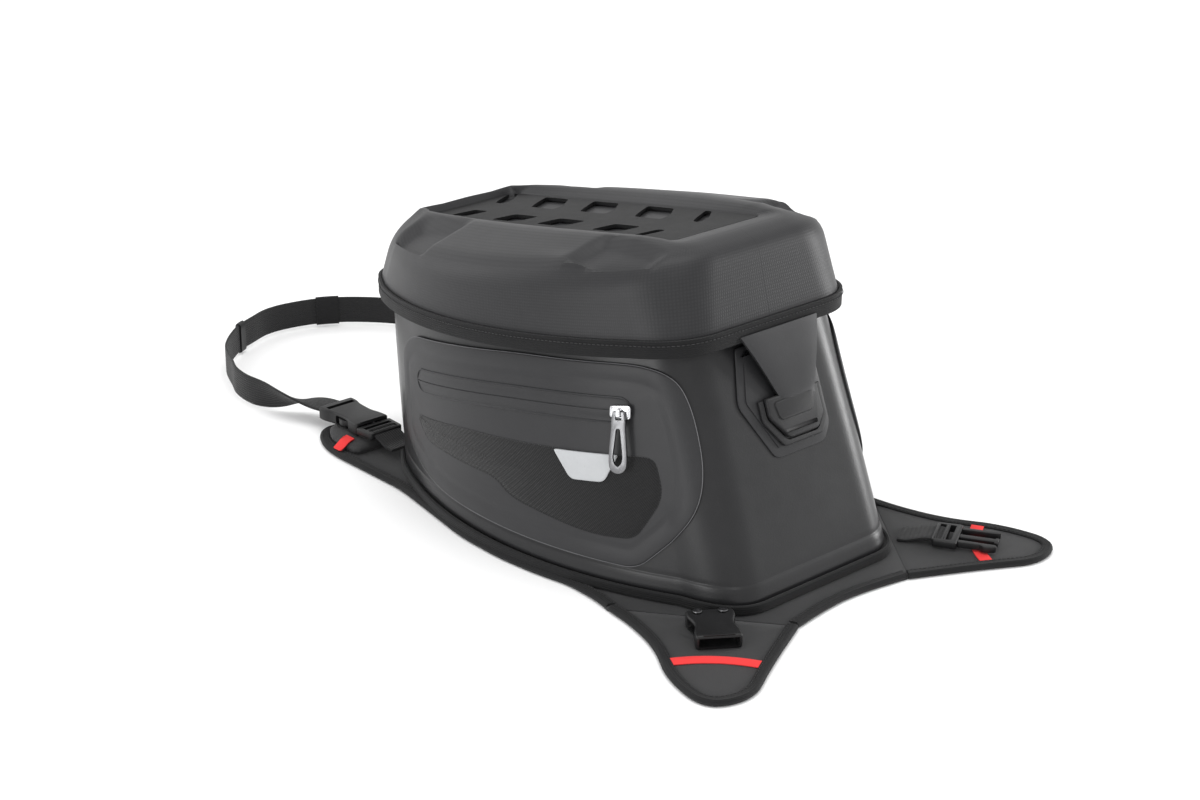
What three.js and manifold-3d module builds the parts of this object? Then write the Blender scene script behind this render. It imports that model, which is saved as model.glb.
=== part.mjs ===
// Strap-on motorcycle tank bag: a welded fabric tub on a padded base harness, a moulded lid
// hinged at the front, a pull-tab closure at the rear, a zipped pocket on each side, a
// quick-release steering-head strap at the front and two fold-up flaps at the rear.
// Millimetres. +X points back to the rider, +Y to the right-hand side, +Z up.
// The origin is on the resting plane, under the middle of the harness.
import * as THREE from 'three';
import { mergeVertices } from 'three/addons/utils/BufferGeometryUtils.js';
import { LoftGeometry } from 'three/addons/geometries/LoftGeometry.js';
import Module from 'manifold-3d';

const wasm = await Module();
wasm.setup();

// ---- driving dimensions ----
const GAP = 0.3;                 // clearance between touching pieces
const WEBBING_WIDTH = 25;        // the strap that sets the scale of everything else
const WEBBING_THICK = 2.2;
const HARNESS_THICK = 3.5;       // harness sheet and its flaps
const BINDING_WIDTH = 8;         // tape folded round the harness edge
const BINDING_THICK = 5.2;
const BASE_PAD_THICK = 4.8;      // foam base under the tub
const BASE_PAD_MARGIN = 2.5;      // how far it stands out beyond the tub
const HARNESS_MARGIN = 6;        // how far the harness edge stands out beyond the tub
const TUB_FLOOR_Z = 9;           // underside of the tub
const TUB_WALL = 3;
const RIM_Z = 163.9;             // height of the tub's mouth above the origin
const RIM_SLOPE = 0.115;         // the mouth drops towards the front
const LID_WALL = 4;
const LID_TAPE_HEIGHT = 13;
const PANEL_Z = 227.4;           // lid panel height above the origin
const PANEL_SLOPE = 0.174;
const PANEL_REAR_X = 78.5;
const PANEL_FRONT_X = -198;
const PANEL_HALF = 45;
const PANEL_THICK = 2;

const rimZ = (x) => RIM_Z + RIM_SLOPE * x;
const v2 = (x, y) => new THREE.Vector2(x, y);
const v3 = (x, y, z) => new THREE.Vector3(x, y, z);

// ---- plan outlines: straight rear edge, round corner, one long arc along the side, nose ----
const TUB_BASE = { rearX: 193, rearHalf: 86, corner: 28, arcX: -8.9, arcY: -186, arcR: 323.7,
	sideRear: 150, sideFront: -160, noseX: -209, noseHalf: 52 };
const TUB_MOUTH = { rearX: 126, rearHalf: 78, corner: 28, arcX: -45.9, arcY: -155, arcR: 283.4,
	sideRear: 96, sideFront: -172, noseX: -215, noseHalf: 60 };
const LID_RIM = { rearX: 134, rearHalf: 85, corner: 32, arcX: -44, arcY: -155, arcR: 291.5,
	sideRear: 98, sideFront: -178, noseX: -223, noseHalf: 66 };
const LID_SHOULDER = { rearX: 119, rearHalf: 75, corner: 32, arcX: -44, arcY: -155, arcR: 283,
	sideRear: 84, sideFront: -172, noseX: -215, noseHalf: 60 };
const LID_CREST = { rearX: 100, rearHalf: 56, corner: 20, arcX: -50, arcY: -600, arcR: 666,
	sideRear: 80, sideFront: -186, noseX: -203, noseHalf: 44 };
const shoulderZ = (x) => 222 + 0.18 * x;
const crestZ = (x) => 236 + 0.155 * x;

function sideY(o, x, grow) {
	const r = o.arcR + grow;
	return o.arcY + Math.sqrt(r * r - (x - o.arcX) ** 2);
}

// Half outline from the rear edge to the nose, on the +Y side.
function halfOutline(o, grow) {
	const rearX = o.rearX + grow;
	const noseX = o.noseX - grow;
	const rearSide = v2(o.sideRear, sideY(o, o.sideRear, grow));
	const frontSide = v2(o.sideFront, sideY(o, o.sideFront, grow));
	const rearCorner = new THREE.QuadraticBezierCurve(v2(rearX, o.rearHalf - o.corner), v2(rearX,
		o.rearHalf + grow), rearSide);
	const angle = (p) => Math.atan2(p.y - o.arcY, p.x - o.arcX);
	const side = new THREE.EllipseCurve(o.arcX, o.arcY, o.arcR + grow, o.arcR + grow, angle(rearSide),
		angle(frontSide));
	const nose = new THREE.CubicBezierCurve(frontSide, v2(o.sideFront - 26, frontSide.y - 17),
		v2(noseX, o.noseHalf + 16), v2(noseX, o.noseHalf - 22));
	return [...rearCorner.getPoints(6), ...side.getPoints(8).slice(1), ...nose.getPoints(6).slice(1)];
}

// Closed ring, counter-clockwise from above, at the height z(x).
function ring(o, grow, z) {
	const half = halfOutline(o, grow);
	const mirrored = half.slice().reverse().map((p) => v2(p.x, -p.y));
	return [...half, ...mirrored].map((p) => v3(p.x, p.y, typeof z === 'function' ? z(p.x) : z));
}

// ---- solids ----
function toManifold(geometry) {
	const g = new THREE.BufferGeometry().copy(geometry);
	g.deleteAttribute('normal');
	g.deleteAttribute('uv');
	const merged = mergeVertices(g, 1e-4);
	const mesh = new wasm.Mesh({ numProp: 3,
		vertProperties: new Float32Array(merged.attributes.position.array),
		triVerts: new Uint32Array(merged.index.array) });
	return new wasm.Manifold(mesh);
}

function toGeometry(solid) {
	const mesh = solid.getMesh();
	const g = new THREE.BufferGeometry();
	g.setAttribute('position', new THREE.BufferAttribute(new Float32Array(mesh.vertProperties), 3));
	g.setIndex(new THREE.BufferAttribute(new Uint32Array(mesh.triVerts), 1));
	g.computeVertexNormals();
	return g;
}

const cut = (a, ...tools) => toGeometry(tools.reduce((s, t) => s.subtract(toManifold(t)),
	toManifold(a)));
const join = (a, ...others) => toGeometry(others.reduce((s, t) => s.add(toManifold(t)), toManifold(a)));
const common = (a, b) => toGeometry(toManifold(a).intersect(toManifold(b)));

// Rings evenly spaced between two rings of the same count, both included.
function between(low, high, steps) {
	return Array.from({ length: steps + 1 }, (_, i) => low.map((p, k) => p.clone().lerp(high[k],
		i / steps)));
}

// A tube wall between two pairs of rings, closed on itself.
function wall(outerLow, outerHigh, innerHigh, innerLow, steps = 1) {
	return new LoftGeometry([...between(outerLow, outerHigh, steps), ...between(innerHigh, innerLow,
		steps), outerLow]);
}

// Extrudes a plan outline from z = low to z = high.
function slab(shape, low, high, curveSegments = 6) {
	return new THREE.ExtrudeGeometry(shape, { depth: high - low, bevelEnabled: false, curveSegments })
		.translate(0, 0, low);
}

// Polygon with rounded corners: [x, y, radius] per corner.
function roundedShape(corners) {
	const shape = new THREE.Shape();
	corners.forEach(([x, y, r], i) => {
		const [px, py] = corners[(i + corners.length - 1) % corners.length];
		const [nx, ny] = corners[(i + 1) % corners.length];
		const before = v2(px - x, py - y);
		const after = v2(nx - x, ny - y);
		const start = v2(x, y).add(before.setLength(Math.min(r, before.length() * 0.49)));
		const end = v2(x, y).add(after.setLength(Math.min(r, after.length() * 0.49)));
		if (i === 0) shape.moveTo(start.x, start.y);
		else shape.lineTo(start.x, start.y);
		if (r > 0) shape.quadraticCurveTo(x, y, end.x, end.y);
	});
	shape.closePath();
	return shape;
}

function mirrorY(geometry) {
	const flat = new THREE.BufferGeometry().copy(geometry);
	const g = flat.index ? flat.toNonIndexed() : flat;
	g.scale(1, -1, 1);
	const p = g.attributes.position;
	for (let i = 0; i < p.count; i += 3) {
		const [x, y, z] = [p.getX(i), p.getY(i), p.getZ(i)];
		p.setXYZ(i, p.getX(i + 1), p.getY(i + 1), p.getZ(i + 1));
		p.setXYZ(i + 1, x, y, z);
	}
	return g;
}

// ---- materials ----
const satin = (color, roughness, metalness = 0) => new THREE.MeshStandardMaterial({ color, roughness,
	metalness });
const coated = () => satin(0x2b2c2e, 0.5);
const moulded = () => satin(0x323335, 0.55);
const webbing = () => satin(0x151516, 0.8);
const padding = () => satin(0x1d1e1f, 0.9);
const plastic = () => satin(0x1a1b1c, 0.45);
const red = () => satin(0xd7262b, 0.7);
const reflective = () => satin(0xb9b9b9, 0.4);
const zinc = () => satin(0x5d5f63, 0.3, 1);

const bag = new THREE.Group();
function add(name, geometry, material, side = 'left') {
	const mesh = new THREE.Mesh(side === 'right' ? mirrorY(geometry) : geometry, material);
	mesh.name = name;
	bag.add(mesh);
	return mesh;
}
const sides = ['left', 'right'];

// ---- tub ----
const LEVELS = 6;                // steps up a tapered side, so neighbouring skins follow one another

// A tapered block between two outlines.
const block = (low, lowZ, high, highZ, growLow = 0, growHigh = growLow) =>
	new LoftGeometry(between(ring(low, growLow, lowZ), ring(high, growHigh, highZ), LEVELS),
		{ capStart: true, capEnd: true });

const ABOVE = 6;                 // how far a cutting block runs past the face it opens
add('tub_shell', cut(block(TUB_BASE, TUB_FLOOR_Z, TUB_MOUTH, rimZ),
	block(TUB_BASE, TUB_FLOOR_Z + TUB_WALL, TUB_MOUTH, (x) => rimZ(x) + ABOVE, -TUB_WALL)), coated());

// Stiffening board laid on the tub's floor.
const BOARD_THICK = 2.5;
const boardLow = TUB_FLOOR_Z + TUB_WALL + GAP;
add('floor_board', block(TUB_BASE, boardLow, TUB_BASE, boardLow + BOARD_THICK, -9), plastic());

// Sprung frame standing up inside the mouth, so that the lid closes over it and rain runs off outside.
const FRAME_THICK = 1.6;
const frameLow = (x) => rimZ(x) - 14;
const frameHigh = (x) => rimZ(x) + 10;
const frameOut = -TUB_WALL - 2.4;
add('mouth_frame', wall(ring(TUB_MOUTH, frameOut, frameLow), ring(TUB_MOUTH, frameOut, frameHigh),
	ring(TUB_MOUTH, frameOut - FRAME_THICK, frameHigh), ring(TUB_MOUTH, frameOut - FRAME_THICK,
		frameLow)), plastic());

// ---- lid ----
const lidLow = (x) => rimZ(x) + GAP;
const tapeHigh = (x) => rimZ(x) + LID_TAPE_HEIGHT;
const panelZ = (x) => PANEL_Z + PANEL_SLOPE * x;

// A rectangle in plan at the height z(x), counter-clockwise from above.
function plate4(front, rear, half, z) {
	return [[rear, -half], [rear, half], [front, half], [front, -half]].map(([x, y]) => v3(x, y, z(x)));
}

// The shallow channel that the slotted panel lies in, flaring upwards.
function channel() {
	const floor = (x) => panelZ(x) - PANEL_THICK - GAP;
	return new LoftGeometry([
		plate4(PANEL_FRONT_X - 1, PANEL_REAR_X + 1, PANEL_HALF + 1, floor),
		plate4(PANEL_FRONT_X - 14, PANEL_REAR_X + 10, PANEL_HALF + 16, (x) => floor(x) + 22),
	], { capStart: true, capEnd: true });
}

function lidBlock(inset, low) {
	return new LoftGeometry([ring(LID_RIM, -inset, low), ring(LID_SHOULDER, -inset,
		(x) => shoulderZ(x) - inset * 0.8),
		ring(LID_CREST, -inset, (x) => crestZ(x) - inset * 1.1)], { capStart: true, capEnd: true });
}

// The cavity follows the channel's underside, so the wall stays one thickness all over.
function lidCavity() {
	const roof = (x) => panelZ(x) - PANEL_THICK - GAP - LID_WALL;
	const under = new LoftGeometry([
		plate4(PANEL_FRONT_X - 5, PANEL_REAR_X + 5, PANEL_HALF + 5, roof),
		plate4(PANEL_FRONT_X - 18, PANEL_REAR_X + 14, PANEL_HALF + 20, (x) => roof(x) + 26),
	], { capStart: true, capEnd: true });
	return cut(lidBlock(LID_WALL, (x) => rimZ(x) - ABOVE), under);
}
add('lid_shell', cut(lidBlock(0, lidLow), channel(), lidCavity()), moulded());

add('lid_edge_tape', wall(ring(LID_RIM, 2.6, lidLow), ring(LID_RIM, 2, tapeHigh),
	ring(LID_RIM, GAP, tapeHigh), ring(LID_RIM, GAP, lidLow)), webbing());

// Laser-cut panel: two rows of slots for lashing loops.
const SLOT_COUNT = 5;
const SLOT_LENGTH = 30;
const SLOT_WIDTH = 13;
const SLOT_ROW_Y = 20;
function lidPanel() {
	const shape = roundedShape([[PANEL_REAR_X, -PANEL_HALF + 1, 6], [PANEL_REAR_X, PANEL_HALF - 1, 6],
		[PANEL_FRONT_X, PANEL_HALF, 6], [PANEL_FRONT_X, -PANEL_HALF, 6]]);
	const pitch = (PANEL_REAR_X - PANEL_FRONT_X) / (SLOT_COUNT + 0.5);
	for (const row of [-1, 1]) {
		for (let i = 0; i < SLOT_COUNT; i++) {
			const x = PANEL_FRONT_X + pitch * (i + 0.75);
			const y = row * SLOT_ROW_Y;
			const hole = new THREE.Path([v2(x - SLOT_LENGTH / 2, y - 3), v2(x - 8, y - SLOT_WIDTH / 2),
				v2(x + 8, y - SLOT_WIDTH / 2),
				v2(x + SLOT_LENGTH / 2, y + 3), v2(x + 8, y + SLOT_WIDTH / 2), v2(x - 8, y + SLOT_WIDTH / 2)]);
			hole.closePath();
			shape.holes.push(hole);
		}
	}
	const flat = slab(shape, -PANEL_THICK, 0, 3);
	const p = flat.attributes.position;
	for (let i = 0; i < p.count; i++) p.setZ(i, p.getZ(i) + panelZ(p.getX(i)));
	return flat;
}
add('lid_panel', lidPanel(), webbing());

// Fabric hinge welded across the nose, below the lid's tape.
const HINGE_HALF = 42;
const noseX = TUB_MOUTH.noseX;
const noseZ = rimZ(noseX);
add('lid_hinge_strip', new THREE.BoxGeometry(1.6, HINGE_HALF * 2, 20).translate(noseX - GAP - 1.4, 0,
	noseZ - 11), coated());

// ---- rear closure, drawn on the sloping rear wall: across, up the wall, and out of it ----
const rearTop = v3(TUB_MOUTH.rearX, 0, rimZ(TUB_MOUTH.rearX));
const rearUp = rearTop.clone().sub(v3(TUB_BASE.rearX, 0, TUB_FLOOR_Z)).normalize();
const rearOut = v3(0, 1, 0).cross(rearUp);
const onRearWall = new THREE.Matrix4().makeBasis(v3(0, 1, 0), rearUp, rearOut).setPosition(rearTop);
const TAB_Y = 8;                 // the pull tab sits a little right of the middle
const TAB_HALF = 26;
const TAB_TOP = -46;
const TAB_BOTTOM = -78;

const catchOutline = [[-30, -6, 3], [-40, -46, 6], [-16, -90, 6], [34, -90, 6], [43, -78, 4], [43, -40,
	6], [40, -6, 3]];
add('catch_plate', slab(roundedShape(catchOutline), GAP, 2.2, 3).applyMatrix4(onRearWall), coated());

function tabOutline(grow) {
	const [left, right] = [TAB_Y - TAB_HALF - grow, TAB_Y + TAB_HALF + grow];
	return [[left, TAB_TOP, 1], [left, TAB_TOP - 14 - grow * 0.5, 2], [left + 15, TAB_BOTTOM - grow, 3],
		[right - 8, TAB_BOTTOM - grow, 3], [right, TAB_BOTTOM + 9 - grow * 0.5, 3], [right, TAB_TOP, 1]];
}
function catchFrame() {
	const outer = slab(roundedShape(tabOutline(5)), 2.5, 5.5, 3);
	const inner = slab(roundedShape(tabOutline(1.6)), 0, 8, 3).translate(0, 1, 0);
	return cut(outer, inner).applyMatrix4(onRearWall);
}
add('catch_frame', catchFrame(), coated());

// The tongue leaves the lid's tape, then leans in towards the wall.
const TONGUE_AXIS = { along: -4, out: 12.8 };
const TONGUE_THICK = 3;
const TONGUE_CLEAR = 1.8;
const TAB_OUT = 3;
const TAB_THICK = 5.5;
function tongue() {
	const end = { along: TAB_TOP + 1, out: TAB_OUT + TAB_THICK / 2 };
	const lean = Math.atan2(end.out - TONGUE_AXIS.out, TONGUE_AXIS.along - end.along);
	const length = Math.hypot(end.out - TONGUE_AXIS.out, end.along - TONGUE_AXIS.along);
	const shape = roundedShape([[TAB_Y - 41, -TONGUE_CLEAR, 1], [TAB_Y - 12, -length, 2], [TAB_Y + 23,
		-length, 2], [TAB_Y + 36, -TONGUE_CLEAR, 1]]);
	return slab(shape, -TONGUE_THICK / 2, TONGUE_THICK / 2, 2).rotateX(-lean)
		.translate(0, TONGUE_AXIS.along, TONGUE_AXIS.out).applyMatrix4(onRearWall);
}
add('closure_tongue', tongue(), coated());

function tabEnd() {
	const body = slab(roundedShape(tabOutline(0)), TAB_OUT, TAB_OUT + TAB_THICK, 3).translate(0, -GAP * 2,
		0);
	const slot = slab(roundedShape([[TAB_Y - 10, -70, 1.5], [TAB_Y - 10, -73.6, 1.5], [TAB_Y + 16, -73.6,
		1.5], [TAB_Y + 16, -70, 1.5]]), 0, 12, 2);
	return cut(body, slot).applyMatrix4(onRearWall);
}
add('closure_tab', tabEnd(), plastic());

// ---- side pockets: thin layers that follow the tub's side ----
const POCKET_PANEL = [[-143, 60, 20], [-145, 113, 8], [-126, 133, 16], [-58, 147, 20], [6, 159, 20],
	[98, 168, 20], [120, 163, 14],
	[133, 142, 20], [149, 100, 20], [152, 74, 16], [143, 54, 16], [118, 24, 10], [-90, 25, 40], [-138, 42,
		20]];
const POCKET_MESH = [[-113, 73, 4], [-39, 88, 20], [45, 98, 20], [118, 105, 8], [128, 78, 12], [114,
	45, 8], [83, 42, 20], [9, 51, 14], [-6, 61, 14], [-98, 58, 14]];
const REFLECTOR = [[46, 97.5, 2], [94, 102, 2], [87, 82, 4], [62, 79, 4]];
const ZIP_SLOT = [[-113, 93, 8], [-41, 108, 20], [27, 119, 20], [108, 127, 8], [106, 145, 8], [70, 141,
	20], [9, 134, 20], [-107, 112, 8]];

// The part of a shell round the tub, between two offsets, that lies behind an outline drawn in side
// view.
function sidePatch(outline, low, high) {
	const shell = wall(ring(TUB_BASE, high, TUB_FLOOR_Z), ring(TUB_MOUTH, high, rimZ),
		ring(TUB_MOUTH, low, rimZ), ring(TUB_BASE, low, TUB_FLOOR_Z), LEVELS);
	const REACH = [60, 220];
	const prism = new THREE.ExtrudeGeometry(roundedShape(outline), { depth: REACH[1] - REACH[0],
		bevelEnabled: false, curveSegments: 3 })
		.rotateX(Math.PI / 2).translate(0, -REACH[0], 0);
	return common(prism, shell);
}
const LAYER = { panel: [GAP, 2.2], mesh: [2.5, 3.3], reflector: [3.6, 4], zip: [2.5, 3.6] };

// The zip runs along an arc, so its slider turns about that arc's centre.
const ZIP_TOP_OUT = LAYER.zip[1] + 1.4;
// A point on the left side of the tub, moved out to the underside of the slider.
function zipPoint(x, z) {
	const mouth = halfOutline(TUB_MOUTH, ZIP_TOP_OUT);
	const level = halfOutline(TUB_BASE, ZIP_TOP_OUT).map((p, i) => p.lerp(mouth[i],
		(z - TUB_FLOOR_Z) / (rimZ(mouth[i].x) - TUB_FLOOR_Z)));
	const i = level.findIndex((p, k) => level[k + 1].x < x);
	const [a, b] = [level[i], level[i + 1]];
	return v3(x, -THREE.MathUtils.mapLinear(x, a.x, b.x, a.y, b.y), z);
}
const ZIP_CLOSED = zipPoint(94, 135);
const ZIP_MIDDLE = zipPoint(-10, 122);
const ZIP_OPEN = zipPoint(-104, 103);
function arcThrough(a, b, c) {
	const ab = b.clone().sub(a);
	const ac = c.clone().sub(a);
	const axis = ab.clone().cross(ac);
	const centre = ac.clone().multiplyScalar(ab.lengthSq()).sub(ab.clone().multiplyScalar(ac.lengthSq()))
		.cross(axis)
		.multiplyScalar(1 / (2 * axis.lengthSq())).add(a);
	return { centre, axis: axis.normalize() };
}
const zipArc = arcThrough(ZIP_CLOSED, ZIP_MIDDLE, ZIP_OPEN);
const zipUp = zipArc.axis.z > 0 ? zipArc.axis.clone() : zipArc.axis.clone().negate();
const zipOut = ZIP_CLOSED.clone().sub(zipArc.centre).normalize();
const WALL_LEAN = -0.05;         // how far the slider is tipped from the zip's own plane, in radians
const atSlider = new THREE.Matrix4().makeBasis(zipUp.clone().cross(zipOut), zipUp, zipOut)
	.setPosition(ZIP_CLOSED)
	.multiply(new THREE.Matrix4().makeRotationX(-WALL_LEAN));
const SLIDER = { length: 15, height: 10, thick: 3.4 };
const PULL = { length: 44, top: 9, bottom: 14, thick: 2.2, lean: -0.03, out: 5.6, bar: 1.1, eye: 5.2 };
const ARCH = { width: 3.4, reach: 3, hole: 1.9 };   // the loop on the slider that holds the pull's bar
function zipSlider() {
	const s = SLIDER;
	const plateShape = roundedShape([[-s.length / 2, -s.height / 2 + 1, 2], [s.length / 2, -s.height / 2,
		3], [s.length / 2, s.height / 2, 3], [-s.length / 2, s.height / 2 - 1, 2]]);
	// An arch over the pull's bar, standing on the slider's plate.
	const top = PULL.out + ARCH.reach;
	const arch = new THREE.BoxGeometry(ARCH.width, 2 * ARCH.reach, top - s.thick + 0.3)
		.translate(0, 0, (top + s.thick - 0.3) / 2);
	const tunnel = new THREE.BoxGeometry(ARCH.width + 2, 2 * ARCH.hole, PULL.out + ARCH.hole - s.thick)
		.translate(0, 0, (PULL.out + ARCH.hole + s.thick) / 2);
	return join(slab(plateShape, 0, s.thick, 3), cut(arch, tunnel)).applyMatrix4(atSlider);
}
function zipPull() {
	const p = PULL;
	const shape = roundedShape([[-p.top / 2, p.bar, 0.8], [-p.bottom / 2, -p.length + 6, 6],
		[-p.bottom / 2 + 3, -p.length, 6], [p.bottom / 2 - 3, -p.length, 6], [p.bottom / 2, -p.length + 6, 6],
		[p.top / 2, p.bar, 0.8]]);
	const eye = new THREE.Path([v2(-2.3, -p.eye), v2(-2.3, -p.bar), v2(2.3, -p.bar), v2(2.3, -p.eye)]);
	const slot = new THREE.Path([v2(-2, -10), v2(-3.6, -p.length + 10), v2(0, -p.length + 6), v2(3.6,
		-p.length + 10), v2(2, -10)]);
	shape.holes.push(eye, slot);
	return slab(shape, -p.thick / 2, p.thick / 2, 3).rotateX(-p.lean).translate(0, 0, p.out)
		.applyMatrix4(atSlider);
}
for (const side of sides) {
	add('pocket_panel_' + side, sidePatch(POCKET_PANEL, ...LAYER.panel), coated(), side);
	add('pocket_fabric_' + side, sidePatch(POCKET_MESH, ...LAYER.mesh), webbing(), side);
	add('pocket_reflector_' + side, sidePatch(REFLECTOR, ...LAYER.reflector), reflective(), side);
	add('zip_chain_' + side, sidePatch(ZIP_SLOT, ...LAYER.zip), plastic(), side);
	add('zip_slider_' + side, zipSlider(), zinc(), side);
	add('zip_pull_' + side, zipPull(), zinc(), side);
}

// ---- harness under the tub ----
// The rear flap's sewn fold, on the right-hand side.
const FOLD = { rear: [226, 57], front: [118.7, 139] };
const ARM = { tipX: -273, outer: 124, inner: 62, rootX: -216 };
const REAR_EDGE = [219, 14];     // the hollow middle of the rear edge, between the flaps
add('base_pad', block(TUB_BASE, HARNESS_THICK + GAP, TUB_BASE, HARNESS_THICK + GAP + BASE_PAD_THICK,
	BASE_PAD_MARGIN, BASE_PAD_MARGIN - 1), padding());

const foldLine = v2(FOLD.rear[0] - FOLD.front[0], FOLD.rear[1] - FOLD.front[1]).normalize();
const FOLD_OUT = v2(-foldLine.y, foldLine.x);          // square to the fold, away from the tub
// Right half of the harness outline, then its mirror image.
function harnessShape(inset, foldGap) {
	const back = FOLD_OUT.clone().multiplyScalar(-foldGap);
	const edge = (x) => sideY(TUB_BASE, x, HARNESS_MARGIN - inset);
	const half = [[REAR_EDGE[0] - inset, REAR_EDGE[1], 40],
		[FOLD.rear[0] + back.x - inset, FOLD.rear[1] + back.y, 1],
		[FOLD.front[0] + back.x - inset * 0.6, FOLD.front[1] + back.y - inset * 0.4, 1],
		[100, edge(100), 10], [43, edge(43), 14], [5, edge(5), 14], [-41, edge(-41), 14], [-96, edge(-96),
			20], [-140, ARM.outer - inset, 14],
		[-240, ARM.outer - inset, 24], [ARM.tipX + inset, ARM.outer - 18, 18], [ARM.tipX + inset,
			ARM.inner + 20, 14], [-250, ARM.inner + inset, 14], [ARM.rootX + inset, ARM.inner + inset, 4]];
	return roundedShape([...half, ...half.slice().reverse().map(([x, y, r]) => [x, -y, r])]);
}
const FOLD_GAP = 1;
const BIND = BINDING_WIDTH;
add('harness_sheet', slab(harnessShape(BIND + GAP, FOLD_GAP), 0, HARNESS_THICK, 3), padding());

// Binding tape along one side of the harness, from the rear fold round to the tip of the front arm.
function bindingWithin(region) {
	const band = cut(
		slab(harnessShape(0, FOLD_GAP), 0, BINDING_THICK, 3),
		slab(harnessShape(BIND, FOLD_GAP), -1, BINDING_THICK + 1, 3),
	);
	const clear = block(TUB_BASE, HARNESS_THICK - 1, TUB_BASE, HARNESS_THICK + GAP + BASE_PAD_THICK + 1,
		BASE_PAD_MARGIN + GAP);
	return cut(common(band, slab(roundedShape(region), -1, BINDING_THICK + 1)), clear);
}
const SIDE_REGION = [[108, 60, 0], [108, 200, 0], [-300, 200, 0], [-300, 30, 0], [-224, 30, 0],
	[-224, 78, 0], [-150, 100, 0]];
const REAR_REGION = [[204, -52, 0], [240, -52, 0], [240, 52, 0], [204, 52, 0]];
for (const side of sides) {
	add('harness_binding_' + side, mirrorY(bindingWithin(SIDE_REGION)), webbing(), side);
}
add('harness_binding_rear', bindingWithin(REAR_REGION), webbing());

// ---- rear flaps ----
function flapShape(inset) {
	const [rx, ry] = FOLD.rear;
	const [fx, fy] = FOLD.front;
	return roundedShape([
		[fx + inset * 0.7, fy - inset * 0.45, 2],
		[148 + inset * 0.3, 143 - inset, 26],
		[183 + inset * 0.5, 154 - inset * 0.9, 26],
		[216 + inset * 0.5, 176 - inset, 22],
		[262 - inset * 0.7, 186 - inset, 26],
		[277.4 - inset, 152 - inset * 0.1, 20],
		[251 - inset, 108, 26],
		[rx - inset * 0.4, ry + inset * 0.7, 2],
	]);
}
const FLAP_CENTRE = v2(181.5, 91);                      // where the buckles' line meets the fold
const FLAP_AXIS_DEG = 42;
// Places a piece drawn along +X from the fold onto the right-hand flap.
const onFlap = (g, along, across, z) => g.translate(along, across, z)
	.rotateZ(THREE.MathUtils.degToRad(FLAP_AXIS_DEG)).translate(FLAP_CENTRE.x, FLAP_CENTRE.y, 0);
function flapBinding() {
	const band = cut(slab(flapShape(0), 0, BINDING_THICK, 4), slab(flapShape(BIND), -1, BINDING_THICK + 1,
		4));
	const [rx, ry] = FOLD.rear;
	const [fx, fy] = FOLD.front;
	const root = slab(roundedShape([[rx + 3, ry + 4, 0], [fx + 3, fy + 4, 0], [fx - 30, fy - 40, 0],
		[rx - 30, ry - 40, 0]]), -1, BINDING_THICK + 1);
	return mirrorY(cut(band, root));
}
function redStrip() {
	const strip = new THREE.Shape();
	const R = 90;
	const spread = 0.25;
	strip.absarc(R, 0, R + 5, Math.PI - spread, Math.PI + spread, false);
	strip.absarc(R, 0, R - 5, Math.PI + spread, Math.PI - spread, true);
	strip.closePath();
	return mirrorY(onFlap(slab(strip, 0, 0.9, 8), 66, 0, HARNESS_THICK + GAP));
}
for (const side of sides) {
	add('flap_' + side, mirrorY(slab(flapShape(BIND + GAP), 0, HARNESS_THICK, 4)), padding(), side);
	add('flap_binding_' + side, flapBinding(), webbing(), side);
	add('flap_accent_' + side, redStrip(), red(), side);
}

// ---- side-release buckles, drawn with the webbing end at x = 0 and the prongs towards +X ----
const BUCKLE = { width: 34, base: 19, thick: 6, guide: 29, prong: 29, prongY: 11.2, shell: 11,
	cavity: 31 };
const FEMALE_LONG = 52;          // with a bar for the webbing
const FEMALE_SHORT = 40;         // riveted down by its solid end
function maleBase() {
	const b = BUCKLE;
	const body = slab(roundedShape([[0, -b.width / 2, 3], [b.base, -b.width / 2, 2], [b.base, b.width / 2,
		2],
		[0, b.width / 2, 3]]), -b.thick / 2, b.thick / 2, 2);
	const slots = [5, 12].map((x) => new THREE.BoxGeometry(3.6, WEBBING_WIDTH + 1, 20).translate(x, 0, 0));
	const guide = new THREE.BoxGeometry(b.guide + 1, 6, 3.6).translate(b.base + b.guide / 2 - 0.5, 0, 0);
	return join(cut(body, ...slots), guide);
}
function prong() {
	const b = BUCKLE;
	const tip = b.base + b.prong;
	return slab(roundedShape([[b.base + GAP, -2, 0], [tip - 10, -1.6, 1], [tip, -1.6, 3], [tip - 1, 2.6,
		2],
		[tip - 10, 4.6, 2], [tip - 12, 1.8, 0], [b.base + GAP, 2, 0]]), -2.4, 2.4, 2).translate(0, b.prongY,
			0);
}
function femaleShell(length, bar) {
	const b = BUCKLE;
	const mouth = b.base + GAP;
	const end = mouth + length;
	const half = b.width / 2;
	const body = slab(roundedShape([[mouth, -half, 3], [mouth + 14, -half + 2.5, 8], [end - 14, -half + 1,
		6],
		[end, -half, 3], [end, half, 3], [end - 14, half - 1, 6], [mouth + 14, half - 2.5, 8], [mouth, half,
			3]]),
	-b.shell / 2, b.shell / 2, 2);
	const cavity = new THREE.BoxGeometry(b.cavity + 2, b.width + 4, 7).translate(mouth + b.cavity / 2 - 1,
		0, 0);
	const shell = cut(body, cavity);
	return bar ? cut(shell, new THREE.BoxGeometry(3.6, WEBBING_WIDTH + 1, 20).translate(end - 9, 0, 0))
		: shell;
}

// Front arms: padded tops, red tabs, and the buckles of the steering-head strap.
const ARM_PAD = { low: HARNESS_THICK + GAP, high: 10 };
const FRONT_BUCKLE = { x: -206.5, y: -84.5, z: 16.6 };
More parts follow.
